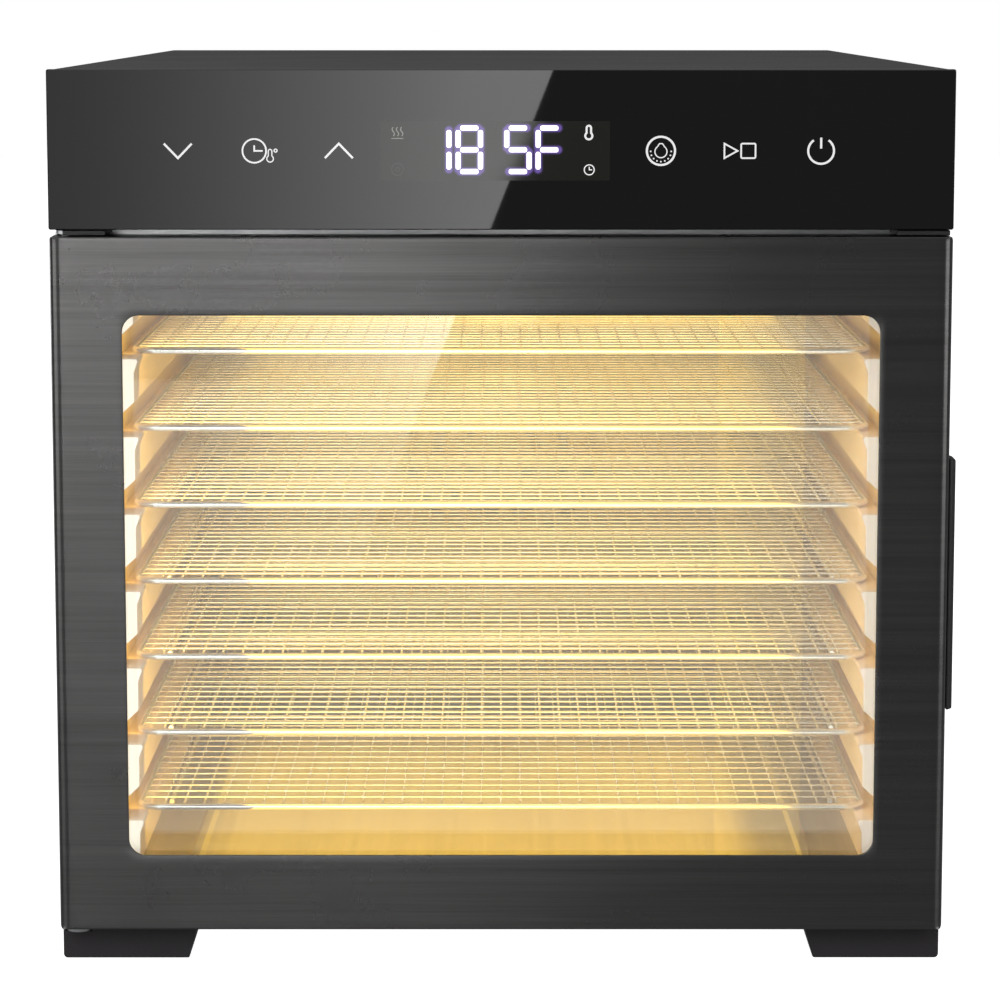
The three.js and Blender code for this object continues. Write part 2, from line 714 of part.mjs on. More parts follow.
// A wire tray: a rounded frame with crosswise wires in its upper half and lengthwise wires in its lower.
function tray(z) {
  const half = halfTray;
  const wire = trayWire;
  const frame = roundedRect(-half, half, trayFront, trayRear, trayRadius);
  frame.holes.push(roundedRect(-half + wire, half - wire, trayFront + wire, trayRear - wire,
    trayRadius - wire, new THREE.Path()));
  const rim = alongZ(frame, z - wire / 2, z + wire / 2, 3);
  const g = trayGridWire / 2;
  const apart = clearance / 2;
  const flush = wire / 2 - clearance;
  const across = count(trayRows - 1).map((i) => {
    const y = trayFront + (i + 1) * (trayRear - trayFront) / trayRows;
    return box(-half + wire / 2, half - wire / 2, y - g, y + g, z + apart, z + flush);
  });
  const along = count(trayColumns - 1).map((i) => {
    const x = -half + (i + 1) * 2 * half / trayColumns;
    return box(x - g, x + g, trayFront + wire / 2, trayRear - wire / 2, z - flush, z - apart);
  });
  return join(rim, ...across, ...along);
}

// ---------- fan, heater and lamp ----------

const impellerY = baffleY + impellerRoom;

// A flat back disc with curved blades standing forward from it, on a bored hub.
function fanImpeller() {
  const back = impellerY + impellerDepth;
  const overlap = back - impellerSheet / 2;
  const plate = rodY(0, fanZ, impellerRadius, back - impellerSheet, back, 48);
  const hub = rodY(0, fanZ, hubRadius, impellerY, overlap, 24);
  const root = hubRadius + bladeRoot;
  const half = bladeThickness / 2;
  const blades = count(bladeCount).map((k) => {
    const blade = new THREE.Shape();
    blade.moveTo(root, -half);
    blade.quadraticCurveTo(impellerRadius * 0.6, 2, impellerRadius - bladeThickness, bladeSweep);
    blade.lineTo(impellerRadius - 1.5 * bladeThickness, bladeSweep + half);
    blade.quadraticCurveTo(impellerRadius * 0.58, 2 + 1.2 * bladeThickness, root, half);
    const turn = (k / bladeCount) * 2 * Math.PI;
    return alongY(blade, impellerY, overlap, 4).rotateY(turn).translate(0, 0, fanZ);
  });
  const bore = rodY(0, fanZ, shaftRadius + clearance, impellerY - 1, back + 1, 20);
  return cut(join(plate, hub, ...blades), bore);
}

const motorFront = plenumY + baseSheet + clearance;

function motorShaft() {
  return rodY(0, fanZ, shaftRadius, impellerY + shaftStart, motorFront + motorDepth - shaftEnd, 20);
}

function fanMotor() {
  const can = rodY(0, fanZ, motorRadius, motorFront, motorFront + motorDepth, 32);
  const reach = motorRadius + motorEar;
  const ears = box(-reach, reach, motorFront, motorFront + motorEarSheet, fanZ - motorEarHalf,
    fanZ + motorEarHalf);
  const bore = rodY(0, fanZ, shaftRadius + clearance, motorFront - 1,
    motorFront + motorDepth - shaftEnd + 1, 20);
  return cut(join(can, ears), bore);
}

const heaterY = baffleY + heaterRoom;
const heaterLegDrop = heaterRadius;

// A tubular ring around the fan, with two legs that pass back to the terminals.
function heaterRing() {
  const ring = new THREE.TorusGeometry(heaterRadius, heaterTube, 8, 48).rotateX(Math.PI / 2);
  ring.translate(0, heaterY, fanZ);
  const legEnd = plenumY + heaterLegLength;
  const legs = heaterLegs.map((x) => rodY(x, fanZ - heaterLegDrop, heaterTube, heaterY, legEnd, 12));
  return join(ring, ...legs);
}

// A forked clip that stands on the plenum's back wall and holds the ring at one side.
function heaterClip(side) {
  const gap = heaterTube + 2 * clearance;
  const inner = heaterRadius - gap;
  const outer = heaterRadius + gap;
  const tip = heaterY - clipLip;
  const back = plenumY - clearance;
  const fork = [
    [inner - clipSheet, back], [inner - clipSheet, tip], [inner, tip], [inner, heaterY + gap],
    [outer, heaterY + gap], [outer, tip], [outer + clipSheet, tip], [outer + clipSheet, back],
  ].map(([x, y]) => [side * x, y]);
  return alongZ(polygon(fork), fanZ - clipHalfHeight, fanZ + clipHalfHeight);
}

// A snap-disc thermostat on the plenum's back wall.
function thermalCutout() {
  const back = plenumY - clearance;
  const z = cavityCeiling - cutoutDrop;
  const plate = box(cutoutX - 1.5 * cutoutRadius, cutoutX + 1.5 * cutoutRadius, back - 1, back,
    z - 0.75 * cutoutRadius, z + 0.75 * cutoutRadius);
  return join(plate, rodY(cutoutX, z, cutoutRadius, back - 1 - cutoutDepth, back - 0.5, 20));
}

const probeZ = cavityCeiling - probeDrop;

function temperatureProbe() {
  return rodY(probeX, probeZ, probeRadius, baffleY - probeFront, baffleY + probeBack, 12);
}

function lampBase() {
  const z0 = cavityCeiling + linerSheet + clearance;
  const can = rodZ(0, lampOffsetY, lampRadius - 2, z0, z0 + lampHolderHeight, 24);
  return join(can, box(-lampStrapHalfLength, lampStrapHalfLength, lampOffsetY - lampStrapHalfWidth,
    lampOffsetY + lampStrapHalfWidth, z0, z0 + lampStrapSheet));
}

function lampLens() {
  const top = cavityCeiling + linerSheet;
  const dome = lathe([
    [0, -lampDrop], [lampRadius * 0.45, -lampDrop * 0.91], [lampRadius * 0.8, -lampDrop * 0.62],
    [lampRadius, -lampFlange], [lampRadius, 0], [lampRadius, lampFlange], [0, lampFlange],
  ], 28);
  return dome.rotateX(Math.PI / 2).translate(0, lampOffsetY, top - lampFlange);
}

// The mains board lies over the ceiling on four pillars, with its relay, transformer and capacitors.
function powerBoard() {
  const z0 = cavityCeiling + linerSheet + powerBoardRise;
  const middle = z0 + boardSheet / 2;
  const halfX = powerBoardWidth / 2;
  const halfY = powerBoardDepth / 2;
  const plate = box(-halfX, halfX, powerBoardY - halfY, powerBoardY + halfY, z0, z0 + boardSheet);
  const blocks = powerBlocks.map(({ x, y, width, depth, height }) => box(x - width / 2, x + width / 2,
    powerBoardY + y - depth / 2, powerBoardY + y + depth / 2, middle, z0 + height));
  const cans = powerCans.map(({ x, y, radius, height }) => rodZ(x, powerBoardY + y, radius, middle,
    z0 + height, 16));
  const parts = [...blocks, ...cans];
  const corners = [-1, 1].flatMap((sideX) => [-1, 1].map((sideY) => [sideX * (halfX - pillarInset),
    powerBoardY + sideY * (halfY - pillarInset)]));
  const pillars = corners.map(([x, y]) => rodZ(x, y, pillarInset / 2, cavityCeiling + linerSheet + clearance,
    middle, 10));
  return join(plate, ...parts, ...pillars);
}

// ---------- door ----------

// A door plan from above, square at the back and with its two front corners rounded.
function doorPlan(half, front, back, radius) {
  const plan = new THREE.Shape();
  plan.moveTo(-half, back);
  plan.lineTo(-half, front + radius);
  plan.absarc(-half + radius, front + radius, radius, Math.PI, 1.5 * Math.PI);
  plan.absarc(half - radius, front + radius, radius, 1.5 * Math.PI, 2 * Math.PI);
  plan.lineTo(half, back);
  return plan;
}

// The folded skin: a face with rounded upright edges and returns on all four sides, cut for the window.
function doorPanel() {
  const back = frontY + doorReturn;
  const block = alongZ(doorPlan(halfDoor, frontY, back, doorEdgeRadius), doorBottom, doorTop);
  const hollow = doorPlan(halfDoor - doorSkin, frontY + doorSkin, back + 1, doorEdgeRadius - doorSkin);
  const inside = alongZ(hollow, doorBottom + doorSkin, doorTop - doorSkin);
  const opening = roundedRect(-windowHalf, windowHalf, windowBottom, windowTop, windowRadius);
  const pinHole = rodZ(hingeX, hingeY, pinRadius + 0.7, doorBottom - 5, doorTop + 5, 16);
  return cut(block, inside, alongY(opening, frontY - 1, frontY + 3), pinHole);
}

const frameHalf = halfDoor - frameInset;
const frameLow = doorBottom + frameInset;
const frameHigh = doorTop - frameInset;
const frameFront = frontY + doorSkin + clearance;
const revealHalf = windowHalf + frameReveal;
const revealLow = windowBottom - frameReveal - 2;
const revealHigh = windowTop + frameReveal;
const pocketDepth = paneThickness + 2 * clearance;
const sealInner = revealHalf + paneLap + 1.5;
const magnetHeight = 40;
const magnetDepth = 5;

function pocket(grow, y0, y1) {
  return box(-revealHalf - grow, revealHalf + grow, y0, y1, revealLow - grow, revealHigh + grow);
}

function doorInnerFrame() {
  const plan = doorPlan(frameHalf, frameFront, doorBack, doorEdgeRadius - doorSkin);
  const opening = roundedRect(-revealHalf, revealHalf, revealLow, revealHigh, windowRadius);
  const bushHole = (z0, z1) => rodZ(hingeX, hingeY, bushRadius + clearance, z0, z1, 20);
  return cut(
    alongZ(plan, frameLow, frameHigh, 4),
    alongY(opening, frameFront - 1, doorBack + 1, 3),
    pocket(paneLap + clearance, frameFront - 1, frameFront + pocketDepth),
    pocket(paneLap + clearance, doorBack - pocketDepth, doorBack + 1),
    sealRing(clearance, doorBack - sealDepth, doorBack + 1),
    magnetBlock(clearance, doorBack - magnetDepth - clearance, doorBack + 1),
    bushHole(frameHigh - bushLength - clearance, frameHigh + 5),
    bushHole(frameLow - 5, frameLow + bushLength + clearance),
  );
}

function pane(y0) {
  const grow = paneLap;
  const shape = roundedRect(-revealHalf - grow, revealHalf + grow, revealLow - grow, revealHigh + grow, 2);
  return alongY(shape, y0, y0 + paneThickness, 3);
}

function sealRing(grow, y0, y1) {
  const lap = sealInner - revealHalf;
  const ring = roundedRect(-revealHalf - lap - sealWidth - grow, revealHalf + lap + sealWidth + grow,
    revealLow - lap - sealWidth - grow, revealHigh + lap + sealWidth + grow, 6);
  ring.holes.push(roundedRect(-revealHalf - lap + grow, revealHalf + lap - grow, revealLow - lap + grow,
    revealHigh + lap - grow, 3, new THREE.Path()));
  return alongY(ring, y0, y1, 4);
}

function magnetBlock(grow, y0, y1) {
  const x = sealInner + sealWidth + clearance + 1.4;
  return box(x - grow, frameHalf - 1.5 + grow, y0, y1, doorMiddle - magnetHeight / 2 - grow,
    doorMiddle + magnetHeight / 2 + grow);
}

function strikePlate() {
  const x = sealInner + sealWidth + 1.4;
  return box(x, frameHalf - 0.5, doorBack + clearance, bodyFront - clearance,
    doorMiddle - magnetHeight / 2 - 4,
    doorMiddle + magnetHeight / 2 + 4);
}

// A finger strip along the free edge, hooked in behind the skin's return.
function doorPull() {
  const x0 = halfDoor + clearance;
  const x1 = halfDoor + pullProjection;
  const y0 = frontY + 5;
  const y1 = y0 + pullWidth;
  const hook = frontY + doorReturn + clearance;
  const section = polygon([
    [x0, y0], [x1 - 1.4, y0 + 0.6], [x1, y0 + 2.4], [x1, y1 - 2], [x1 - 0.8, y1], [frameHalf + clearance, y1],
    [frameHalf + clearance, hook], [x0, hook],
  ]);
  return alongZ(section, doorMiddle - pullLength / 2, doorMiddle + pullLength / 2);
}

// ---------- assembly ----------

place('outer_shell', outerShell(), 'darkSheet');
place('base_plate', basePlate(), 'galvanised');
place('front_frame', frontFrame(), 'stainless');
place('rear_panel', rearPanel(), 'darkSheet');
place('cord_gland', cordGland(), 'blackPlastic');
screwSpots.forEach(({ x, z }, i) => {
  place(`rear_screw_${i + 1}`, rearScrew().translate(x, 0, z), 'galvanised');
});
place('foot_front_left', foot(-1, -1), 'footPlastic');
place('foot_front_right', foot(1, -1), 'footPlastic');
place('foot_rear_left', foot(-1, 1), 'footPlastic');
place('foot_rear_right', foot(1, 1), 'footPlastic');

place('upper_hinge_bracket', upperHingeBracket(), 'galvanised');
place('lower_hinge_bracket', lowerHingeBracket(), 'galvanised');
place('upper_hinge_pin', hingePin(upperPinLow, upperPinTop), 'galvanised');
place('lower_hinge_pin', hingePin(lowerPinLow, lowerPinTop), 'galvanised');
place('corner_cover_left', cornerCover(-1), 'blackPlastic');
place('corner_cover_right', cornerCover(1), 'blackPlastic');

place('control_housing', controlHousing(), 'blackPlastic');
place('control_glass', controlGlass(), 'blackGlass');
place('display_module', displayModule(), 'displayFace');
place('control_board', controlBoard(), 'circuitBoard');

place('side_wall_left', sideWall(-1), 'creamPlastic');
place('side_wall_right', sideWall(1), 'creamPlastic');
place('cavity_floor', floorPlate(), 'stainless');
place('cavity_ceiling', ceilingPlate(), 'stainless');
place('air_baffle', airBaffle(), 'stainless');
place('plenum_back', plenumBack(), 'galvanised');
place('heater_ring', heaterRing(), 'heaterSheath');
place('heater_clip_left', heaterClip(-1), 'galvanised');
place('heater_clip_right', heaterClip(1), 'galvanised');
place('thermal_cutout', thermalCutout(), 'brass');
place('temperature_probe', temperatureProbe(), 'stainless');
place('fan_motor', fanMotor(), 'galvanised');
place('lamp_base', lampBase(), 'blackPlastic');
place('lamp_lens', lampLens(), 'warmLens');
place('power_board', powerBoard(), 'circuitBoard');
place('strike_plate', strikePlate(), 'galvanised');

place('motor_shaft', motorShaft(), 'stainless');
place('fan_impeller', fanImpeller(), 'galvanised');

place('door_panel', doorPanel(), 'brushedDark');
place('door_inner_frame', doorInnerFrame(), 'blackPlastic');
place('door_outer_pane', pane(frameFront), 'clearGlass');
place('door_inner_pane', pane(doorBack - paneThickness - clearance), 'clearGlass');
place('door_seal', sealRing(0, doorBack - sealDepth + clearance, bodyFront - clearance), 'silicone');
place('door_pull', doorPull(), 'blackPlastic');
place('door_magnet', magnetBlock(0, doorBack - magnetDepth, doorBack - clearance), 'magnetBlack');
place('upper_hinge_bush', hingeBush(frameHigh - bushLength, frameHigh), 'brass');
place('lower_hinge_bush', hingeBush(frameLow, frameLow + bushLength), 'brass');

count(trayCount).forEach((i) => {
  place(`tray_${i + 1}`, tray(lowestTray + i * trayPitch), 'trayWire');
});

export default dehydrator;
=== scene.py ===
import json
import math

import bmesh
import bpy
import numpy as np
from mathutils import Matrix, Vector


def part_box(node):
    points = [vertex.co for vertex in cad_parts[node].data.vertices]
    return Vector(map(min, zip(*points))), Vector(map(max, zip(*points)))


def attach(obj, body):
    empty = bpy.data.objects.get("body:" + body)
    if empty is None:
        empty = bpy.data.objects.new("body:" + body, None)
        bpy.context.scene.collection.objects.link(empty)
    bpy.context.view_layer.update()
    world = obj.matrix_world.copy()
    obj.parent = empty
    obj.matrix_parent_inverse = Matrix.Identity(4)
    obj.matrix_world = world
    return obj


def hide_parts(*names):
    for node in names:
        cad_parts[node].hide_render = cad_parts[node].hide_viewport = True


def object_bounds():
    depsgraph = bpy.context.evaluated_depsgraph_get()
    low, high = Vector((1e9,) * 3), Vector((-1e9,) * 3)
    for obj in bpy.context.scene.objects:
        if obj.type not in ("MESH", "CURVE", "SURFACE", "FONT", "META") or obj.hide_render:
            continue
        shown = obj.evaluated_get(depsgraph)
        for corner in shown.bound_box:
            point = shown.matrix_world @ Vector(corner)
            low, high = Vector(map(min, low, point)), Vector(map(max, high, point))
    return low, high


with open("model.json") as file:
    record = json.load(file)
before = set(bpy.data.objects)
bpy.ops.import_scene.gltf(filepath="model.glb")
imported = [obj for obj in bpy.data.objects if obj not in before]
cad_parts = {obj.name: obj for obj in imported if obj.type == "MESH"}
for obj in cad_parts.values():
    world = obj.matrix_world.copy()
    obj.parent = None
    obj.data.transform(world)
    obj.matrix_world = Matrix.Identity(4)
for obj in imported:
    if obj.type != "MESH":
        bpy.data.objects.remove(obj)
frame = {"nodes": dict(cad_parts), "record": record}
cadBox = [list(corner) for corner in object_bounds()]

mm = 0.001
scene = bpy.context.scene
bodyOf = {node: body for body, nodes in frame["record"]["behaviour"]["bodies"].items() for node in nodes}


def boxOf(node):
    # the node's lowest and highest corners as two numpy rows
    return np.array([list(corner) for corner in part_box(node)])


cameraSettings = {
    "distance": 1189 * mm,  # from the front plane
    "eyeHeight": 375.5 * mm,
    "aside": -1.9 * mm,  # from the case's middle
    "tiltDown": 6.86,  # degrees
    "lens": 112.6,
    "shiftY": -0.125,
}


def makeCamera(look):
    low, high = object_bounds()
    camera = bpy.data.objects.new("studio_camera", bpy.data.cameras.new("studio_camera"))
    scene.collection.objects.link(camera)
    camera.data.lens = look["lens"]
    camera.data.shift_y = look["shiftY"]
    camera.data.clip_start = 0.05
    caseMiddle = (low.x + high.x) / 2
    camera.location = (caseMiddle + look["aside"], low.y - look["distance"], look["eyeHeight"])
    camera.rotation_euler = (math.radians(90 - look["tiltDown"]), 0, 0)
    scene.camera = camera
    return camera


camera = makeCamera(cameraSettings)
print("camera placed")


def gridFaces(rows, columns, closeRows=False, closeColumns=False):
    # point (i, j) is number i * columns + j, and face (i, j) joins (i, j), (i, j+1), (i+1, j+1), (i+1, j)
    lastRow = rows if closeRows else rows - 1
    lastColumn = columns if closeColumns else columns - 1
    i, j = np.meshgrid(np.arange(lastRow), np.arange(lastColumn), indexing="ij")
    nextI = (i + 1) % rows
    nextJ = (j + 1) % columns
    corners = [i * columns + j, i * columns + nextJ, nextI * columns + nextJ, nextI * columns + j]
    return np.stack(corners, axis=-1).reshape(-1, 4).tolist()


def ringShape(loops, closed=False):
    # loop i of equally many points is joined to loop i + 1; the first and last loops are capped or joined
    loops = np.asarray(loops, float)
    rows, columns = loops.shape[:2]
    faces = gridFaces(rows, columns, closeRows=closed, closeColumns=True)
    if not closed:
        faces.append(list(range(columns)))
        faces.append(list(range((rows - 1) * columns, rows * columns)))
    return loops.reshape(-1, 3), faces


def merged(shapes):
    # points one after another, each shape's point numbers raised by the points before it
    starts = np.cumsum([0] + [len(points) for points, _ in shapes])
    faces = []
    for start, (_, own) in zip(starts.tolist(), shapes):
        faces += [[number + start for number in face] for face in own]
    return np.concatenate([points for points, _ in shapes]), faces


def roundedLoop(low, high, radius, steps=8):
    # corner k is the arc radius * (cos t, sin t), t over quarter turn k, about a centre one radius in
    low, high = np.asarray(low, float), np.asarray(high, float)
    turn = np.concatenate([np.linspace(k, k + 1, steps + 1) for k in range(4)]) * math.pi / 2
    side = np.repeat([[1, 1], [-1, 1], [-1, -1], [1, -1]], steps + 1, axis=0)
    arc = np.stack([np.cos(turn), np.sin(turn)], axis=-1) * radius
    return (low + high) / 2 + side * ((high - low) / 2 - radius) + arc


def arcPoints(centre, radius, start, end, count):
    # centre + radius * (cos t, sin t), t in degrees from start to end
    turn = np.radians(np.linspace(start, end, count))
    return np.asarray(centre, float) + radius * np.stack([np.cos(turn), np.sin(turn)], axis=-1)


def sweep(path, profile, up, closed=False):
    # point (i, j) = path(i) + profile(j).x * (tangent(i) x up) / cos(half the bend) + profile(j).y * up
    path, profile, up = (np.asarray(values, float) for values in (path, profile, up))
    ahead = np.roll(path, -1, axis=0) - path
    behind = np.roll(ahead, 1, axis=0)
    if not closed:
        ahead[-1] = behind[-1]
        behind[0] = ahead[0]
    ahead /= np.linalg.norm(ahead, axis=1, keepdims=True)
    behind /= np.linalg.norm(behind, axis=1, keepdims=True)
    tangent = ahead + behind
    tangent /= np.linalg.norm(tangent, axis=1, keepdims=True)
    stretch = 1 / np.clip((tangent * ahead).sum(axis=1, keepdims=True), 0.35, 1)
    side = np.cross(tangent, up) * stretch
    loops = path[:, None] + profile[None, :, :1] * side[:, None] + profile[None, :, 1:] * up
    return ringShape(loops, closed)


def circleProfile(radius, sides):
    # radius * (cos t, sin t) at equal steps of a whole turn
    return arcPoints((0, 0), radius, 0, 360 * (1 - 1 / sides), sides)


def acrossAxes(axis):
    # two unit vectors square to the axis and to each other
    u = np.cross(axis, (0, 0, 1) if abs(axis[2]) < 0.9 else (1, 0, 0))
    u /= np.linalg.norm(u)
    return u, np.cross(axis, u)


def rods(middles, along, radius, sides=8):
    # rod k, end e, side j = middle(k) + (e - 1/2) * along + radius * (cos j * u + sin j * v)
    middles, along = np.asarray(middles, float), np.asarray(along, float)
    u, v = acrossAxes(along / np.linalg.norm(along))
    ring = circleProfile(radius, sides)
    circle = ring[:, :1] * u + ring[:, 1:] * v
    ends = np.array([-0.5, 0.5])[:, None] * along
    points = middles[:, None, None] + ends[None, :, None] + circle[None, None]
    one = np.array(gridFaces(2, sides, closeColumns=True))
    caps = np.arange(2 * sides).reshape(2, sides)
    starts = np.arange(len(middles))[:, None, None] * 2 * sides
    walls = (one[None] + starts).reshape(-1, 4).tolist()
    ends = (caps[None] + starts).reshape(-1, sides).tolist()
    return points.reshape(-1, 3), walls + ends


def turned(profile, centre, axis, steps=48):
    # point (i, j) = centre + height(i) * axis + radius(i) * (cos j * u + sin j * v)
    profile, axis = np.asarray(profile, float), np.asarray(axis, float)
    u, v = acrossAxes(axis)
    ring = circleProfile(1, steps)
    circle = ring[:, :1] * u + ring[:, 1:] * v
    return np.asarray(centre) + profile[:, None, 1:] * axis + profile[:, None, :1] * circle[None]


def onPlane(flat, depth):
    # flat (x, z) points set at the given y
    flat = np.asarray(flat, float)
    return np.stack([flat[:, 0], np.full(len(flat), depth), flat[:, 1]], axis=-1)


def register(piece, body, finish, replaced):
    scene.collection.objects.link(piece)
    piece.data.materials.clear()
    piece.data.materials.append(finishes[finish])
    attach(piece, body)
    if replaced:
        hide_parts(*replaced)
    return piece


def addPiece(name, shape, body, finish, replaced=(), smoothBelow=35):
    points, faces = shape
    mesh = bpy.data.meshes.new(name)
    mesh.from_pydata(points.tolist(), [], faces)
    shell = bmesh.new()
    shell.from_mesh(mesh)
    bmesh.ops.recalc_face_normals(shell, faces=shell.faces)
    shell.to_mesh(mesh)
    shell.free()
    mesh.shade_smooth()
    mesh.set_sharp_from_angle(angle=math.radians(smoothBelow))
    return register(bpy.data.objects.new(name, mesh), body, finish, replaced)


def softened(node, width, finish, segments=2, angle=38):
    # a copy of a CAD node with its triangles merged, its flat faces joined and its edges rounded
    mesh = frame["nodes"][node].data.copy()
    shell = bmesh.new()
    shell.from_mesh(mesh)
    bmesh.ops.remove_doubles(shell, verts=shell.verts, dist=1e-6)
    bmesh.ops.dissolve_limit(shell, angle_limit=math.radians(0.5), verts=shell.verts, edges=shell.edges)
    shell.to_mesh(mesh)
    shell.free()
    mesh.shade_smooth()
    mesh.set_sharp_from_angle(angle=math.radians(60))
    piece = register(bpy.data.objects.new(f"{node}_finished", mesh), bodyOf[node], finish, (node,))
    edges = piece.modifiers.new("rounded edges", "BEVEL")
    edges.width = width
    edges.segments = segments
    edges.limit_method = "ANGLE"
    edges.angle_limit = math.radians(angle)
    weights = piece.modifiers.new("flat faces kept flat", "WEIGHTED_NORMAL")
    weights.keep_sharp = True
    weights.weight = 100
    return piece


def addNode(tree, kind, **settings):
    made = tree.nodes.new(kind)
    for label, value in settings.items():
        setattr(made, label, value)
    return made


def feed(tree, socket, value):
    if isinstance(value, bpy.types.NodeSocket):
        tree.links.new(value, socket)
    else:
        socket.default_value = value


def calculate(tree, operation, first, second=0.0, third=0.0):
    made = addNode(tree, "ShaderNodeMath", operation=operation)
    for socket, value in zip(made.inputs, (first, second, third)):
        feed(tree, socket, value)
    return made.outputs[0]


def spread(tree, value, low, high, fromLow=0.0, fromHigh=1.0):
    # value from fromLow..fromHigh to low..high
    made = addNode(tree, "ShaderNodeMapRange")
    for socket, number in zip(made.inputs, (value, fromLow, fromHigh, low, high)):
        feed(tree, socket, number)
    return made.outputs[0]


def blend(tree, factor, first, second):
    made = addNode(tree, "ShaderNodeMix", data_type="RGBA")
    feed(tree, made.inputs[0], factor)
    feed(tree, made.inputs[6], first if isinstance(first, bpy.types.NodeSocket) else (*first, 1))
    feed(tree, made.inputs[7], second if isinstance(second, bpy.types.NodeSocket) else (*second, 1))
    return made.outputs[2]


def noise(tree, where, scale, detail=2.0, roughness=0.55):
    made = addNode(tree, "ShaderNodeTexNoise")
    feed(tree, made.inputs["Vector"], where)
    feed(tree, made.inputs["Scale"], scale)
    made.inputs["Detail"].default_value = detail
    made.inputs["Roughness"].default_value = roughness
    return made.outputs[0]


def newGroup(name, inputs, outputs):
    tree = bpy.data.node_groups.new(name, "ShaderNodeTree")
    for label, kind, value in inputs:
        socket = tree.interface.new_socket(label, in_out="INPUT", socket_type=kind)
        socket.default_value = value
    for label in outputs:
        tree.interface.new_socket(label, in_out="OUTPUT", socket_type="NodeSocketFloat")
    return tree, tree.nodes.new("NodeGroupInput"), tree.nodes.new("NodeGroupOutput")


def place(tree, group, **values):
    made = addNode(tree, "ShaderNodeGroup", node_tree=group)
    for label, value in values.items():
        feed(tree, made.inputs[label], value)
    return made


def mix(tree, first, share, second):
    # first * share + second * (1 - share)
    return calculate(tree, "MULTIPLY_ADD", first, share, calculate(tree, "MULTIPLY", second, 1 - share))


def objectPlace(tree):
    return addNode(tree, "ShaderNodeTexCoord").outputs["Object"]


def newMaterial(name):
    material = bpy.data.materials.new(name)
    material.use_nodes = True
    tree = material.node_tree
    return material, tree, tree.nodes["Principled BSDF"]


def makeLineGrain():
    # tone = wide lines + fine lines, height = fine lines, both noise of position * stretch
    inputs = [("Stretch", "NodeSocketVector", (6, 6, 900))]
    tree, given, result = newGroup("line grain", inputs, ["Tone", "Height"])
    drawn = addNode(tree, "ShaderNodeVectorMath", operation="MULTIPLY")
    feed(tree, drawn.inputs[0], objectPlace(tree))
    feed(tree, drawn.inputs[1], given.outputs["Stretch"])
    wide = noise(tree, drawn.outputs[0], 0.35, 3.0, 0.6)
    fine = noise(tree, drawn.outputs[0], 2.6, 3.0, 0.7)
    feed(tree, result.inputs["Tone"], spread(tree, mix(tree, wide, 0.55, fine), 0.0, 1.0, 0.3, 0.7))
    feed(tree, result.inputs["Height"], fine)
    return tree


def makePebbleGrain():
    # tone = broad soft mottling, height = fine noise + rounded cells at the grain's size
    inputs = [("Grains", "NodeSocketFloat", 1800.0)]
    tree, given, result = newGroup("pebble grain", inputs, ["Tone", "Height"])
    where = objectPlace(tree)
    broad = noise(tree, where, 22.0, 3.0, 0.6)
    speckle = noise(tree, where, given.outputs["Grains"], 2.0, 0.5)
    cells = addNode(tree, "ShaderNodeTexVoronoi", feature="SMOOTH_F1")
    feed(tree, cells.inputs["Vector"], where)
    feed(tree, cells.inputs["Scale"], given.outputs["Grains"])
    cells.inputs["Smoothness"].default_value = 0.6
    feed(tree, result.inputs["Tone"], spread(tree, mix(tree, broad, 0.75, speckle), 0.0, 1.0, 0.3, 0.7))
    height = calculate(tree, "ADD", cells.outputs["Distance"], speckle)
    feed(tree, result.inputs["Height"], height)
    return tree


def makeHandling():
    # smear = broad noise sharpened in the middle of its range, for wiped and touched surfaces
    tree, given, result = newGroup("handling", [("Patches", "NodeSocketFloat", 14.0)], ["Smear"])
    where = objectPlace(tree)
    bent = noise(tree, where, given.outputs["Patches"], 5.0, 0.65)
    feed(tree, result.inputs["Smear"], spread(tree, bent, 0.0, 1.0, 0.35, 0.65))
    return tree


def makeEdgeWear():
    # painted edge highlight and wear = how far the surface's normal leans from the normal rounded over the
    # radius, broken by noise
    inputs = [("Radius", "NodeSocketFloat", 0.0006), ("Amount", "NodeSocketFloat", 0.5)]
    tree, given, result = newGroup("edge wear and painted highlight", inputs, ["Wear"])
    rounded = addNode(tree, "ShaderNodeBevel", samples=6)
    feed(tree, rounded.inputs["Radius"], given.outputs["Radius"])
    flat = addNode(tree, "ShaderNodeNewGeometry").outputs["Normal"]
    lean = addNode(tree, "ShaderNodeVectorMath", operation="DOT_PRODUCT")
    feed(tree, lean.inputs[0], rounded.outputs[0])
    feed(tree, lean.inputs[1], flat)
    edge = spread(tree, lean.outputs["Value"], 1.0, 0.0, 0.84, 0.95)
    where = objectPlace(tree)
    broken = spread(tree, noise(tree, where, 160.0, 4.0, 0.7), 0.35, 1.0, 0.35, 0.65)
    wornAndHighlit = calculate(tree, "MULTIPLY", edge, broken)
    feed(tree, result.inputs["Wear"], calculate(tree, "MULTIPLY", wornAndHighlit, given.outputs["Amount"]))
    return tree


def makeSettledDust():
    # dust = how far the face looks up * patchy noise * amount
    tree, given, result = newGroup("settled dust", [("Amount", "NodeSocketFloat", 0.05)], ["Dust"])
    face = addNode(tree, "ShaderNodeNewGeometry")
    parts = addNode(tree, "ShaderNodeSeparateXYZ")
    feed(tree, parts.inputs[0], face.outputs["Normal"])
    upward = spread(tree, parts.outputs["Z"], 0.0, 1.0, 0.3, 0.95)
    where = objectPlace(tree)
    patchy = spread(tree, noise(tree, where, 90.0, 6.0, 0.75), 0.2, 1.0, 0.35, 0.7)
    feed(tree, result.inputs["Dust"], calculate(
        tree, "MULTIPLY", calculate(tree, "MULTIPLY", upward, patchy), given.outputs["Amount"]))
    return tree


effects = {
    "lines": makeLineGrain(),
    "pebbles": makePebbleGrain(),
    "handling": makeHandling(),
    "wearAndHighlight": makeEdgeWear(),
    "dust": makeSettledDust(),
}
print("shared effects made")


alongX = (7, 7, 1000)  # lines that run across the object
alongY = (900, 7, 900)  # lines that run front to back
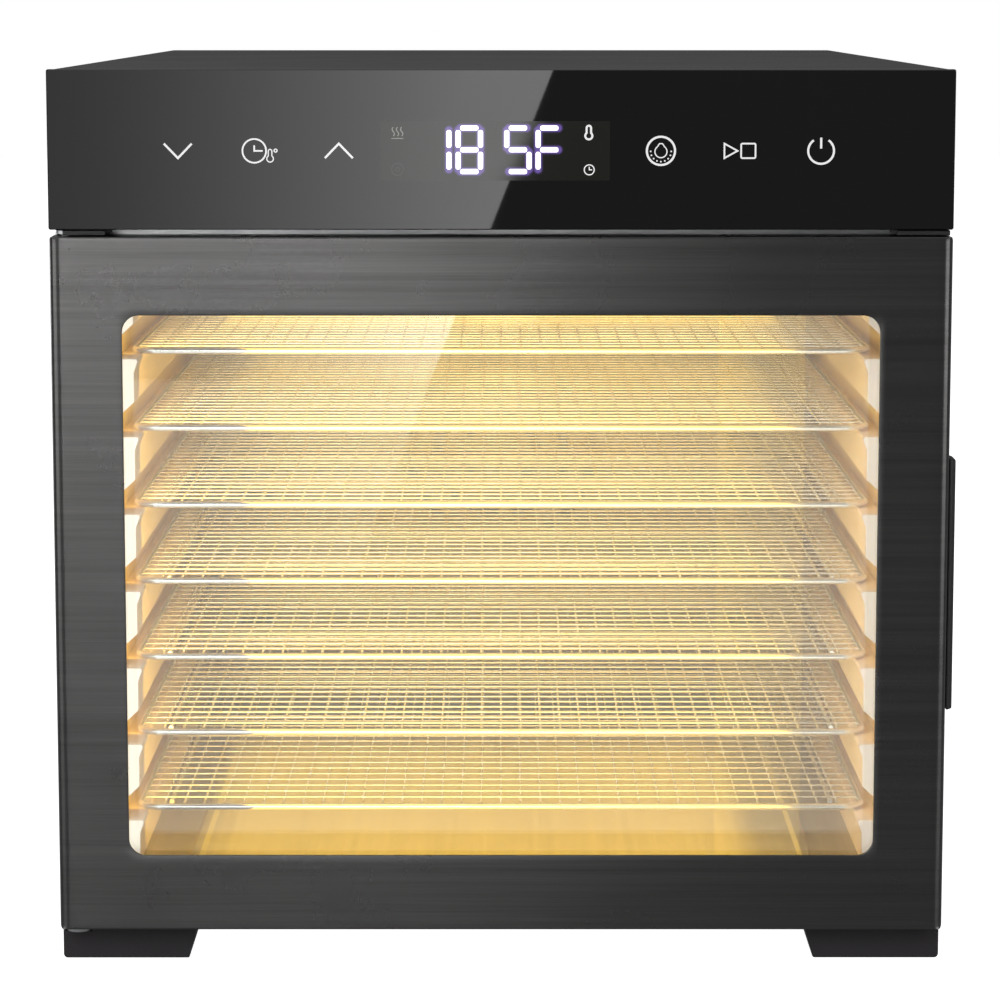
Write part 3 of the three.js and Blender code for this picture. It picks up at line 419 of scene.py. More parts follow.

# each finish's worn colour lightens its edges: worn paint and a painted highlight along them in one
finishLooks = {
    "powderCoat": {
        "dark": (0.034, 0.034, 0.035), "light": (0.044, 0.044, 0.045), "wornAndHighlit": (0.16, 0.16, 0.16),
        "grain": "pebbles", "size": 2200.0, "rough": (0.50, 0.55), "bump": 0.05, "wearAndHighlight": 0.35, "dust": 0.02,
        "Specular IOR Level": 0.35,
    },
    "darkSteel": {
        "dark": (0.086, 0.084, 0.083), "light": (0.138, 0.136, 0.135), "wornAndHighlit": (0.62, 0.61, 0.60),
        "grain": "lines", "size": alongX, "rough": (0.26, 0.30), "bump": 0.008, "wearAndHighlight": 0.5,
        "Metallic": 0.95, "Anisotropic": 0.85, "Anisotropic Rotation": 0.25,
    },
    "stainless": {
        "dark": (0.50, 0.46, 0.38), "light": (0.64, 0.59, 0.49),
        "grain": "lines", "size": alongY, "rough": (0.44, 0.54), "bump": 0.006,
        "Metallic": 0.9, "Anisotropic": 0.3,
    },
    "stainlessFace": {
        "dark": (0.72, 0.72, 0.72), "light": (0.86, 0.86, 0.86),
        "grain": "lines", "size": alongX, "rough": (0.30, 0.40), "bump": 0.02,
        "Metallic": 1.0, "Anisotropic": 0.5, "Anisotropic Rotation": 0.25,
    },
    "zincPlate": {
        "dark": (0.36, 0.37, 0.38), "light": (0.52, 0.53, 0.54), "wornAndHighlit": (0.62, 0.62, 0.62),
        "grain": "pebbles", "size": 260.0, "rough": (0.30, 0.46), "bump": 0.02, "wearAndHighlight": 0.2, "dust": 0.03,
        "Metallic": 0.95,
    },
    "blackPlastic": {
        "dark": (0.012, 0.012, 0.013), "light": (0.018, 0.018, 0.019), "wornAndHighlit": (0.06, 0.06, 0.06),
        "grain": "pebbles", "size": 1500.0, "rough": (0.42, 0.55), "bump": 0.05, "wearAndHighlight": 0.3, "dust": 0.04,
    },
    "footPlastic": {
        "dark": (0.056, 0.051, 0.056), "light": (0.068, 0.062, 0.068), "wornAndHighlit": (0.12, 0.12, 0.12),
        "grain": "pebbles", "size": 1300.0, "rough": (0.50, 0.62), "bump": 0.08, "wearAndHighlight": 0.4, "dust": 0.02,
        "Specular IOR Level": 0.2,
    },
    "creamPlastic": {
        "dark": (0.80, 0.66, 0.54), "light": (0.88, 0.74, 0.62),
        "grain": "pebbles", "size": 900.0, "rough": (0.32, 0.45), "bump": 0.03, "dust": 0.02,
        "Subsurface Weight": 0.08, "Subsurface Scale": 0.004,
    },
    "trayWire": {
        "dark": (0.74, 0.72, 0.66), "light": (0.88, 0.86, 0.80),
        "grain": "pebbles", "size": 600.0, "rough": (0.16, 0.30), "bump": 0.01,
        "Metallic": 0.85,
    },
    "silicone": {
        "dark": (0.034, 0.034, 0.035), "light": (0.050, 0.050, 0.051),
        "grain": "pebbles", "size": 1100.0, "rough": (0.58, 0.70), "bump": 0.03, "dust": 0.04,
    },
    "brass": {
        "dark": (0.36, 0.21, 0.055), "light": (0.52, 0.32, 0.10), "wornAndHighlit": (0.7, 0.5, 0.22),
        "grain": "lines", "size": alongX, "rough": (0.22, 0.34), "bump": 0.02, "wearAndHighlight": 0.3,
        "Metallic": 1.0,
    },
    "heatedSheath": {
        "dark": (0.07, 0.055, 0.05), "light": (0.17, 0.13, 0.10), "wornAndHighlit": (0.3, 0.26, 0.22),
        "grain": "pebbles", "size": 320.0, "rough": (0.42, 0.60), "bump": 0.04, "wearAndHighlight": 0.2,
        "Metallic": 0.8,
    },
    "magnetCompound": {
        "dark": (0.018, 0.017, 0.017), "light": (0.030, 0.028, 0.028), "wornAndHighlit": (0.08, 0.08, 0.08),
        "grain": "pebbles", "size": 1400.0, "rough": (0.60, 0.72), "bump": 0.05, "wearAndHighlight": 0.2, "dust": 0.02,
    },
    "blackGlass": {
        "dark": (0.0042, 0.0040, 0.0052), "light": (0.0058, 0.0055, 0.0068),
        "grain": "pebbles", "size": 500.0, "rough": (0.008, 0.022), "bump": 0.0,
        "IOR": 1.5,
    },
    "circuitBoard": {
        "dark": (0.010, 0.075, 0.026), "light": (0.018, 0.13, 0.045), "wornAndHighlit": (0.2, 0.2, 0.1),
        "grain": "pebbles", "size": 240.0, "rough": (0.30, 0.45), "bump": 0.04, "wearAndHighlight": 0.1, "dust": 0.03,
        "Coat Weight": 0.4, "Coat Roughness": 0.2,
    },
}
dustColour = (0.30, 0.29, 0.27)


def makeFinish(name, look):
    # colour = tone between dark and light, then edges lightened as wear and as a painted highlight, then
    # dust;
    # roughness from handling, bump from the grain
    material, tree, shader = newMaterial(name)
    sizeName = "Stretch" if look["grain"] == "lines" else "Grains"
    grain = place(tree, effects[look["grain"]], **{sizeName: look["size"]})
    smear = place(tree, effects["handling"]).outputs["Smear"]
    colour = blend(tree, grain.outputs["Tone"], look["dark"], look["light"])
    rough = spread(tree, smear, *look["rough"])
    # edges lightened towards the worn colour: partly real wear, partly a painted highlight
    if "wearAndHighlight" in look:
        wearAndHighlight = place(tree, effects["wearAndHighlight"], Amount=look["wearAndHighlight"]).outputs["Wear"]
        colour = blend(tree, wearAndHighlight, colour, look["wornAndHighlit"])
    if "dust" in look:
        dust = place(tree, effects["dust"], Amount=look["dust"]).outputs["Dust"]
        colour = blend(tree, dust, colour, dustColour)
        rough = calculate(tree, "ADD", rough, calculate(tree, "MULTIPLY", dust, 0.8))
    feed(tree, shader.inputs["Base Color"], colour)
    feed(tree, shader.inputs["Roughness"], rough)
    if look["bump"] > 0:
        bump = addNode(tree, "ShaderNodeBump")
        bump.inputs["Strength"].default_value = look["bump"] * 4
        bump.inputs["Distance"].default_value = 0.2 * mm
        feed(tree, bump.inputs["Height"], grain.outputs["Height"])
        feed(tree, shader.inputs["Normal"], bump.outputs[0])
    for label in shader.inputs.keys():
        if label in look:
            shader.inputs[label].default_value = look[label]
    return material


finishes = {name: makeFinish(name, look) for name, look in finishLooks.items()}


def makeClearGlass():
    # a clear shader with a faint smear in its roughness and a slight green in its colour
    material, tree, shader = newMaterial("clearGlass")
    smear = place(tree, effects["handling"], Patches=9.0).outputs["Smear"]
    feed(tree, shader.inputs["Base Color"], blend(tree, smear, (0.975, 0.99, 0.985), (0.99, 1.0, 0.995)))
    feed(tree, shader.inputs["Roughness"], spread(tree, smear, 0.0, 0.003))
    shader.inputs["Transmission Weight"].default_value = 1.0
    shader.inputs["Specular IOR Level"].default_value = 0.05
    shader.inputs["IOR"].default_value = 1.5
    return material


def makeLit(name, colour, strength, attribute=None, base=(0.8, 0.8, 0.8)):
    # a glowing face: emission = colour, or colour * attribute where the piece carries one
    material, tree, shader = newMaterial(name)
    tone = place(tree, effects["pebbles"], Grains=900.0).outputs["Tone"]
    feed(tree, shader.inputs["Base Color"], blend(tree, tone, base, tuple(0.92 * part for part in base)))
    smear = place(tree, effects["handling"]).outputs["Smear"]
    feed(tree, shader.inputs["Roughness"], spread(tree, smear, 0.03, 0.08))
    shader.inputs["Emission Strength"].default_value = strength
    if attribute:
        carried = addNode(tree, "ShaderNodeAttribute", attribute_name=attribute)
        feed(tree, shader.inputs["Emission Color"], blend(tree, carried.outputs["Fac"], (0, 0, 0), colour))
    else:
        shader.inputs["Emission Color"].default_value = (*colour, 1)
    return material


finishes["clearGlass"] = makeClearGlass()
finishes["litDigits"] = makeLit("litDigits", (0.93, 0.90, 1.0), 1.25)
finishes["litSymbols"] = makeLit("litSymbols", (0.9, 0.9, 0.9), 0.62)
finishes["dimSymbols"] = makeLit("dimSymbols", (0.52, 0.53, 0.47), 0.35, base=(0.2, 0.2, 0.18))
finishes["faintSymbols"] = makeLit("faintSymbols", (0.5, 0.5, 0.45), 0.03, base=(0.03, 0.03, 0.027))
finishes["displayFace"] = makeLit("displayFace", (0.34, 0.20, 0.85), 0.4, "glow",
                                  base=(0.021, 0.022, 0.016))
finishes["warmLens"] = makeLit("warmLens", (1.0, 0.72, 0.38), 2.5, base=(0.9, 0.8, 0.6))
print("finishes made:", len(finishes))


doorSkinSettings = {
    "sheet": 0.9 * mm,
    "sideFold": 4.5 * mm,  # radius of the upright folded edges
    "topFold": 0.9 * mm,
    "cornerRadius": 1.6 * mm,
    "windowSide": 27.8 * mm,  # skin's edge to the window
    "windowLow": 29.9 * mm,
    "windowHigh": 30.1 * mm,
    "windowRadius": 6.5 * mm,
    "windowEdge": 0.35 * mm,
    "foldSteps": 8,
    "cornerSteps": 10,
}


def windowLoop(grow=0.0, steps=doorSkinSettings["cornerSteps"]):
    # the window's outline on the skin, grown outwards
    look = doorSkinSettings
    low, high = boxOf("door_panel")[:, [0, 2]]
    low = low + (look["windowSide"] - grow, look["windowLow"] - grow)
    high = high - (look["windowSide"] - grow, look["windowHigh"] - grow)
    return roundedLoop(low, high, look["windowRadius"] + grow, steps)


def makeDoorSkin(look):
    # rings from the window's edge over the face, the folded edge and the return, then back inside;
    # at fold angle a a ring is inset by radius * (1 - sin a) and lies radius * (1 - cos a) behind the face
    low, high = boxOf("door_panel")
    front, back = low[1], high[1]
    steps = look["cornerSteps"]
    turn = np.concatenate([np.linspace(k, k + 1, steps + 1) for k in range(4)]) * math.pi / 2
    outline = lambda insetX, insetZ: roundedLoop(
        low[[0, 2]] + (insetX, insetZ), high[[0, 2]] - (insetX, insetZ), look["cornerRadius"], steps)

    def foldRing(angle, wall):
        # wall is 0 on the outside and the sheet's thickness on the inside
        side = max(look["sideFold"] - wall, 0.1 * mm)
        top = max(look["topFold"] - wall, 0.1 * mm)
        inset = 1 - math.sin(angle)
        depth = (side * np.cos(turn) ** 2 + top * np.sin(turn) ** 2) * (1 - math.cos(angle)) + wall
        flat = outline(side * inset + wall, top * inset + wall)
        return np.stack([flat[:, 0], front + depth, flat[:, 1]], axis=-1)

    angles = np.linspace(0, math.pi / 2, look["foldSteps"] + 1)
    edge = look["windowEdge"]
    rings = [onPlane(windowLoop(), front + look["sheet"])]
    rings += [onPlane(windowLoop(edge * (1 - math.sin(a))), front + edge * (1 - math.cos(a)))
              for a in angles[::-2]]
    inner, outer = rings[-1], foldRing(0, 0)
    rings += [inner + (outer - inner) * share for share in (0.1, 0.5, 0.9)]
    rings += [foldRing(a, 0) for a in angles]
    rings += [onPlane(outline(0, 0), back), onPlane(outline(look["sheet"], look["sheet"]), back)]
    rings += [foldRing(a, look["sheet"]) for a in angles[::-1]]
    return ringShape(rings, closed=True)


addPiece("door_skin", makeDoorSkin(doorSkinSettings), "door", "darkSteel",
         ("door_panel",), smoothBelow=50)


paneSettings = {"arris": 0.5 * mm, "radius": 2 * mm}  # ground edge and corners


def slab(node, arris, radius, recess=0.0, steps=6):
    # a rounded plate between two faces, its edges ground back at half a right angle
    low, high = boxOf(node)
    lowFlat, highFlat = low[[0, 2]], high[[0, 2]]
    loop = lambda inset: roundedLoop(lowFlat + inset, highFlat - inset, radius, steps)
    front, back = low[1] + recess, high[1]
    rings = [onPlane(loop(arris), front), onPlane(loop(0), front + arris),
             onPlane(loop(0), back - arris), onPlane(loop(arris), back)]
    return ringShape(rings)


for paneNode in ("door_outer_pane", "door_inner_pane"):
    paneShape = slab(paneNode, paneSettings["arris"], paneSettings["radius"])
    pane = addPiece(f"{paneNode}_glass", paneShape, "door", "clearGlass", (paneNode,))
    pane.visible_shadow = False
print("door made")


glassSettings = {
    "recess": 0.10 * mm,  # room before the glass for the printed and lit marks, inside the CAD box
    "arris": 0.4 * mm,
    "radius": 0.8 * mm,
}
glassBox = boxOf("control_glass")
glassFace = glassBox[0][1] + glassSettings["recess"]
panelMiddle = (glassBox[0] + glassBox[1]) / 2
glassShape = slab("control_glass", glassSettings["arris"], glassSettings["radius"],
                  glassSettings["recess"])
addPiece("control_glass_pane", glassShape, "case", "blackGlass", ("control_glass",))


def plate(flat, front, back):
    # a flat outline made a thin plate
    return ringShape([onPlane(flat, front), onPlane(flat, back)])


def stroke(flat, width, front, back, closed=False):
    # a line of the given width along flat points, as thick as front to back
    profile = np.array([[-width, front], [width, front], [width, back], [-width, back]]) * (0.5, 1)
    return sweep(onPlane(flat, 0), profile, (0, 1, 0), closed)


displaySettings = {
    "digitHigh": 16.5 * mm,  # between the middles of the top and bottom bars
    "digitWide": 8.5 * mm,
    "bar": 2.0 * mm,
    "barRoom": 0.75 * mm,  # left free at each end of a bar
    "digitLefts": {"1": -26.0 * mm, "8": -14.0 * mm, "5": 4.45 * mm, "F": 16.35 * mm},
    "digitRise": 0.4 * mm,
    "faceLift": 0.03 * mm,  # before and behind the glass's face
    "faceSunk": 0.02 * mm,
    "glowReach": 0.5 * mm,
    "glowCell": 0.3 * mm,
}
# bars: top, upper left, upper right, middle, lower left, lower right, bottom
litBars = {"1": "25", "8": "0123456", "5": "01356", "F": "0134"}


def barEnds(look):
    # each lit bar's two end points in the display's own plane
    wide, high = look["digitWide"], look["digitHigh"] / 2
    rows = (high, 0, -high)
    corner = {"abcdef"[number]: (number % 2 * wide, rows[number // 2]) for number in range(6)}
    bars = ("ab", "ac", "bd", "cd", "ce", "df", "ef")
    ends = []
    for mark, lit in litBars.items():
        start = np.array([look["digitLefts"][mark], look["digitRise"]])
        ends += [[corner[point] + start for point in bars[int(bar)]] for bar in lit]
    return np.array(ends)


def barPlate(start, end, look, front, back):
    # a bar with cropped ends: half width * (0.35 at the tip, 0.72 and 1 further in)
    along = end - start
    length = np.linalg.norm(along)
    along = along / length
    across = np.array([-along[1], along[0]])
    reach, half = length / 2 - look["barRoom"], look["bar"] / 2
    outline = [(reach, 0.35), (reach - 0.2 * half, 0.72), (reach - 0.7 * half, 1)]
    right = np.array([[x, share * half] for x, share in outline])
    flat = np.concatenate([right, right[::-1] * (-1, 1), right * (-1, -1), right[::-1] * (1, -1)])
    return plate((start + end) / 2 + flat[:, :1] * along + flat[:, 1:] * across, front, back)


displayBox = boxOf("display_module")
displayMiddle = ((displayBox[0] + displayBox[1]) / 2)[[0, 2]]


def makeDisplayFace(look):
    # a thin plate whose front is a fine grid; glow = e^(-(distance to the nearest lit bar / reach)^2)
    low, high = displayBox[0][[0, 2]], displayBox[1][[0, 2]]
    columns, rows = (np.ceil((high - low) / look["glowCell"]).astype(int) + 1)
    x, z = np.meshgrid(np.linspace(low[0], high[0], columns), np.linspace(low[1], high[1], rows))
    flat = np.stack([x.ravel(), z.ravel()], axis=-1)
    faces = gridFaces(rows, columns)
    number = np.arange(rows * columns).reshape(rows, columns)
    rim = np.concatenate([number[0, :-1], number[:-1, -1], number[-1, :0:-1], number[:0:-1, 0]])
    first = rows * columns
    nextRim = np.roll(rim, -1)
    behind = first + np.arange(len(rim))
    sides = np.stack([rim, nextRim, np.roll(behind, -1), behind], axis=-1)
    front, back = glassFace - look["faceLift"], glassFace + look["faceSunk"]
    points = np.concatenate([onPlane(flat, front), onPlane(flat[rim], back)])
    face = addPiece("display_window", (points, faces + sides.tolist() + [behind.tolist()]), "case",
                    "displayFace")
    ends = barEnds(look) + displayMiddle
    start, along = ends[:, 0], ends[:, 1] - ends[:, 0]
    share = ((points[:, None, [0, 2]] - start) * along).sum(axis=2) / (along ** 2).sum(axis=1)
    nearest = start + np.clip(share, 0.1, 0.9)[..., None] * along
    distance = np.linalg.norm(points[:, None, [0, 2]] - nearest, axis=2).min(axis=1)
    beyond = np.maximum(distance - look["bar"] / 2, 0)
    glow = np.exp(-((beyond / look["glowReach"]) ** 2))
    face.data.attributes.new("glow", "FLOAT", "POINT").data.foreach_set("value", glow.astype(np.float32))
    return face


makeDisplayFace(displaySettings)
markFront = glassFace - 0.08 * mm
markBack = glassFace - 0.02 * mm
digitBars = [barPlate(*(ends + displayMiddle), displaySettings, markFront, markBack)
             for ends in barEnds(displaySettings)]
addPiece("display_digits", merged(digitBars), "case", "litDigits")

symbolSettings = {
    "thick": 0.80 * mm,
    "medium": 0.62 * mm,
    "thin": 0.42 * mm,
    "centres": {"down": -122.7, "clock": -93.7, "up": -61.6, "lamp": 60.7, "start": 90.4, "power": 121.5},
}


def drawing(centre, strokes):
    # strokes of (points in millimetres, width, closed) about a centre given in metres
    return [stroke(np.asarray(centre) + np.asarray(points) * mm, width, markFront, markBack, closed)
            for points, width, closed in strokes]


def chevron(direction):
    return [(-5.3, -2.75 * direction), (0, 2.75 * direction), (5.3, -2.75 * direction)]


def thermometer(centre, bulb, neck, high):
    # an open bulb below and a narrow rounded stem above
    opening = math.degrees(math.asin(neck / bulb))
    lower = arcPoints((0, 0), bulb, 90 + opening, 450 - opening, 20)
    upper = arcPoints((0, high), neck, 0, 180, 8)
    return np.concatenate([lower, upper]) + centre


def bulbOutline():
    # a round glass with a narrow neck on top
    glass = arcPoints((0, -0.3), 2.3, 125, 415, 24)
    return np.concatenate([glass, [(0.95, 2.2), (0.55, 2.75), (-0.55, 2.75), (-0.95, 2.2)]])


def keyStrokes(look):
    thick, medium, thin = look["thick"], look["medium"], look["thin"]
    dots = [(arcPoints((3.9 * math.cos(t), 3.9 * math.sin(t) - 0.2), 0.16, 0, 324, 10), 0.3 * mm, True)
            for t in np.radians(np.linspace(180, 360, 9))]
    return {
        "down": [(chevron(-1), thick, False)],
        "up": [(chevron(1), thick, False)],
        "clock": [
            (arcPoints((0, 0), 4.5, 0, 351, 40), medium, True),
            ([(0, 2.1), (0, 0), (3.2, 0)], medium, False),
            (thermometer((6.0, -3.0), 1.25, 0.68, 2.9), thin, True),
            (arcPoints((8.1, 0.1), 0.58, 0, 330, 12), thin, True),
        ],
        "lamp": [
            (arcPoints((0, 0), 5.35, 0, 352.5, 48), thick, True),
            (bulbOutline(), thin, True),
            *dots,
        ],
        "start": [
            ([(-5.6, 2.75), (-5.6, -2.75), (-0.6, 0)], medium, True),
            (roundedLoop((0.75, -2.75), (6.2, 2.75), 0.5, 4), medium, True),
        ],
        "power": [
            (arcPoints((0, 0), 4.9, 125, 415, 40), thick, False),
            ([(0, 0.9), (0, 5.0)], thick, False),
        ],
    }


keyShapes = []
for key, strokes in keyStrokes(symbolSettings).items():
    keyShapes += drawing((panelMiddle[0] + symbolSettings["centres"][key] * mm, displayMiddle[1]), strokes)
addPiece("key_symbols", merged(keyShapes), "case", "litSymbols")


def wave(x, z, high):
    # x + a * sin(2 pi t), z + high * t
    t = np.linspace(0, 1, 14)
    return np.stack([x + 0.45 * np.sin(2 * math.pi * t), z + high * t], axis=-1)


thin = symbolSettings["thin"]
brightStrokes = [
    (thermometer((35.6, 5.7), 1.35, 0.85, 3.0), 0.75 * mm, True),
    (arcPoints((35.8, -7.2), 1.9, 0, 345, 28), thin, True),
    ([(35.8, -6.0), (35.8, -7.2), (36.9, -7.2)], thin, False),
]
dimStrokes = [(wave(x, 5.6, 3.4), 0.35 * mm, False) for x in (-38.6, -37.0, -35.4)]
dimStrokes.append(([(-39.3, 4.7), (-34.7, 4.7)], 0.3 * mm, False))
faintStrokes = [
    (arcPoints((-37, -7), 2.3, 0, 348, 30), 0.5 * mm, True),
    (arcPoints((-37, -7), 0.8, 0, 330, 12), 0.4 * mm, True),
]
symbols = (("bright", brightStrokes, "litSymbols"), ("dim", dimStrokes, "dimSymbols"),
           ("faint", faintStrokes, "faintSymbols"))
for name, strokes, finish in symbols:
    shape = merged(drawing(displayMiddle, strokes))
    addPiece(f"display_{name}_symbols", shape, "case", finish)
print("control panel made")


traySettings = {
    "frameWire": 2.7 * mm,
    "corner": 10 * mm,
    "crossWire": 0.85 * mm,
    "longWire": 1.05 * mm,
    "crossPitch": 9.5 * mm,
    "crossFirst": 15 * mm,  # behind the frame's front
    "longPitch": 8.0 * mm,
    "longFirst": 10.7 * mm,  # from the frame's side
    "support": 2.0 * mm,
    "supportInset": 12.8 * mm,
    "supportDrop": 1.9 * mm,
}


def evenly(start, end, pitch):
    # places from start to end, spaced as near to the pitch as whole gaps allow
    return np.linspace(start, end, int(round((end - start) / pitch)) + 1)


def makeTray(node, look):
    low, high = boxOf(node)
    middle = (low + high) / 2
    radius = look["frameWire"] / 2
    loop = roundedLoop(low[:2] + radius, high[:2] - radius, look["corner"] - radius, 9)
    path = np.column_stack([loop, np.full(len(loop), middle[2])])
    frameShape = sweep(path, circleProfile(radius, 14), (0, 0, 1), closed=True)
    crossY = evenly(low[1] + look["crossFirst"], high[1] - look["crossFirst"], look["crossPitch"])
    longX = evenly(low[0] + look["longFirst"], high[0] - look["longFirst"], look["longPitch"])
    crossZ = middle[2] + look["crossWire"] / 2
    longZ = middle[2] - look["longWire"] / 2 + 0.1 * mm
    span = high - low - 2 * radius
    crossMiddles = np.column_stack([np.full(len(crossY), middle[0]), crossY, np.full(len(crossY), crossZ)])
    longMiddles = np.column_stack([longX, np.full(len(longX), middle[1]), np.full(len(longX), longZ)])
    supportX = middle[0] + np.array([-1, 1]) * ((high - low)[0] / 2 - look["supportInset"])
    supportZ = middle[2] - look["supportDrop"]
    supports = np.column_stack([supportX, np.full(2, middle[1]), np.full(2, supportZ)])
    shapes = [
        frameShape,
        rods(crossMiddles, (span[0], 0, 0), look["crossWire"] / 2),
        rods(longMiddles, (0, span[1], 0), look["longWire"] / 2),
        rods(supports, (0, span[1] - 2 * look["crossFirst"], 0), look["support"] / 2, 12),
    ]
    return merged(shapes)


trayNodes = sorted(node for node in frame["nodes"] if node.startswith("tray_"))
for node in trayNodes:
    addPiece(f"{node}_wires", makeTray(node, traySettings), bodyOf[node], "trayWire",
             (node,), smoothBelow=60)
print("trays made:", len(trayNodes))


screwSettings = {
    "headRadius": 3.4 * mm,
    "headHigh": 2.1 * mm,
    "recessRadius": 2.0 * mm,
    "recessWide": 0.42 * mm,
    "recessDeep": 1.3 * mm,
}


def makeScrewHead(node, look):
    # height(r) = high * sqrt(1 - (r / (1.06 R))^2), less a cross recess that shallows outwards
    low, high = boxOf(node)
    middle = (low + high) / 2
    seat = high[1] - look["headHigh"]
    radii = np.linspace(0.04, 1, 15) * look["headRadius"]
    turn = np.radians(np.arange(0, 360, 5))
    r, t = np.meshgrid(radii, turn, indexing="ij")
    x, z = r * np.cos(t), r * np.sin(t)
    crown = look["headHigh"] * np.sqrt(1 - (r / (1.06 * look["headRadius"])) ** 2)
    arm = np.minimum(np.abs(x), np.abs(z))
    cross = np.clip((look["recessWide"] * 1.6 - arm) / (0.8 * look["recessWide"]), 0, 1)
    depth = look["recessDeep"] * cross * np.clip(1.15 - r / look["recessRadius"], 0, 1)
    y = seat + crown - depth
    top = np.stack([middle[0] + x, y, middle[2] + z], axis=-1)
    shankRadius = 0.47 * look["headRadius"]
    under = [(look["headRadius"], seat), (shankRadius, seat), (shankRadius, low[1] + 1.2 * mm),
             (shankRadius * 0.6, low[1])]
    rest = [np.stack([middle[0] + radius * np.cos(turn), np.full(len(turn), y0),
                      middle[2] + radius * np.sin(turn)], axis=-1) for radius, y0 in under]
    return ringShape(np.concatenate([top, np.array(rest)]))


for node in sorted(name for name in frame["nodes"] if name.startswith("rear_screw_")):
    head = makeScrewHead(node, screwSettings)
    addPiece(f"{node}_head", head, "case", "zincPlate", (node,), smoothBelow=40)

glandSettings = {
    "barrel": 6.6 * mm,
    "collar": 9.6 * mm,
    "collarHigh": 2.2 * mm,
    "collarEase": 0.4 * mm,
    "bore": 3.7 * mm,
    "tipWall": 0.9 * mm,
    "ribs": 4,
    "ribHigh": 0.22 * mm,
}


def makeGland(look):
    # a collar, then a tapering barrel whose radius rises and falls with each rib, open right through
    low, high = boxOf("cord_gland")
    middle = (low + high) / 2
    face = boxOf("rear_panel")[1][1]
    barrel, collar, ease = look["barrel"], look["collar"], look["collarEase"]
    collarTop = face + look["collarHigh"]
    outside = [(barrel - 0.8 * mm, low[1]), (barrel, low[1] + 1 * mm), (barrel, face),
               (collar - ease, face), (collar, face + ease), (collar, collarTop - ease),
               (collar - ease, collarTop)]
    share = np.linspace(0, 1, 8 * look["ribs"] + 1)
    taper = barrel + (look["bore"] + look["tipWall"] - barrel) * share
    ribbed = taper + look["ribHigh"] * np.cos(2 * math.pi * look["ribs"] * share)
    height = collarTop + share * (high[1] - collarTop)
    inside = [(look["bore"], high[1]), (look["bore"], low[1])]
    profile = np.concatenate([outside, np.column_stack([ribbed, height]), inside])
    loops = turned(profile, (middle[0], 0, middle[2]), (0, 1, 0))
    return ringShape(loops, closed=True)


addPiece("cord_gland_ribbed", makeGland(glandSettings), "case", "blackPlastic",
         ("cord_gland",))


def makeLens():
    # a dome whose depth falls as 1 - the square root of 1 - r^2
    low, high = boxOf("lamp_lens")
    middle = (low + high) / 2
    radius = (high[0] - low[0]) / 2
    depth = high[2] - low[2]
    share = np.linspace(0.03, 1, 16)
    fall = 1 - np.sqrt(1 - (0.995 * share) ** 2)
    dome = np.column_stack([share * radius, low[2] + 0.85 * depth * fall])
    profile = np.concatenate([dome, [(radius, high[2]), (radius * 0.1, high[2])]])
    return ringShape(turned(profile, (middle[0], middle[1], 0), (0, 0, 1)))


addPiece("lamp_lens_dome", makeLens(), "case", "warmLens", ("lamp_lens",))

heaterSettings = {"tube": 3.3 * mm, "legSpread": 9 * mm}


def makeHeater(look):
    # a tube carried round a circle, and two straight legs back from its lowest point
    low, high = boxOf("heater_ring")
    middleX = (low[0] + high[0]) / 2
    radius = (high[0] - low[0]) / 2 - look["tube"]
    middleZ = high[2] - look["tube"] - radius
    ringY = low[1] + look["tube"]
    flat = arcPoints((middleX, middleZ), radius, 0, 357, 120)
    ring = sweep(onPlane(flat, ringY), circleProfile(look["tube"], 16), (0, 1, 0), closed=True)
    legX = middleX + np.array([-1, 1]) * look["legSpread"]
    legMiddle = np.column_stack([legX, np.full(2, (ringY + high[1]) / 2), np.full(2, middleZ - radius)])
    return merged([ring, rods(legMiddle, (0, high[1] - ringY, 0), look["tube"], 16)])


addPiece("heater_ring_tube", makeHeater(heaterSettings), "case", "heatedSheath",
         ("heater_ring",))
print("small parts made")


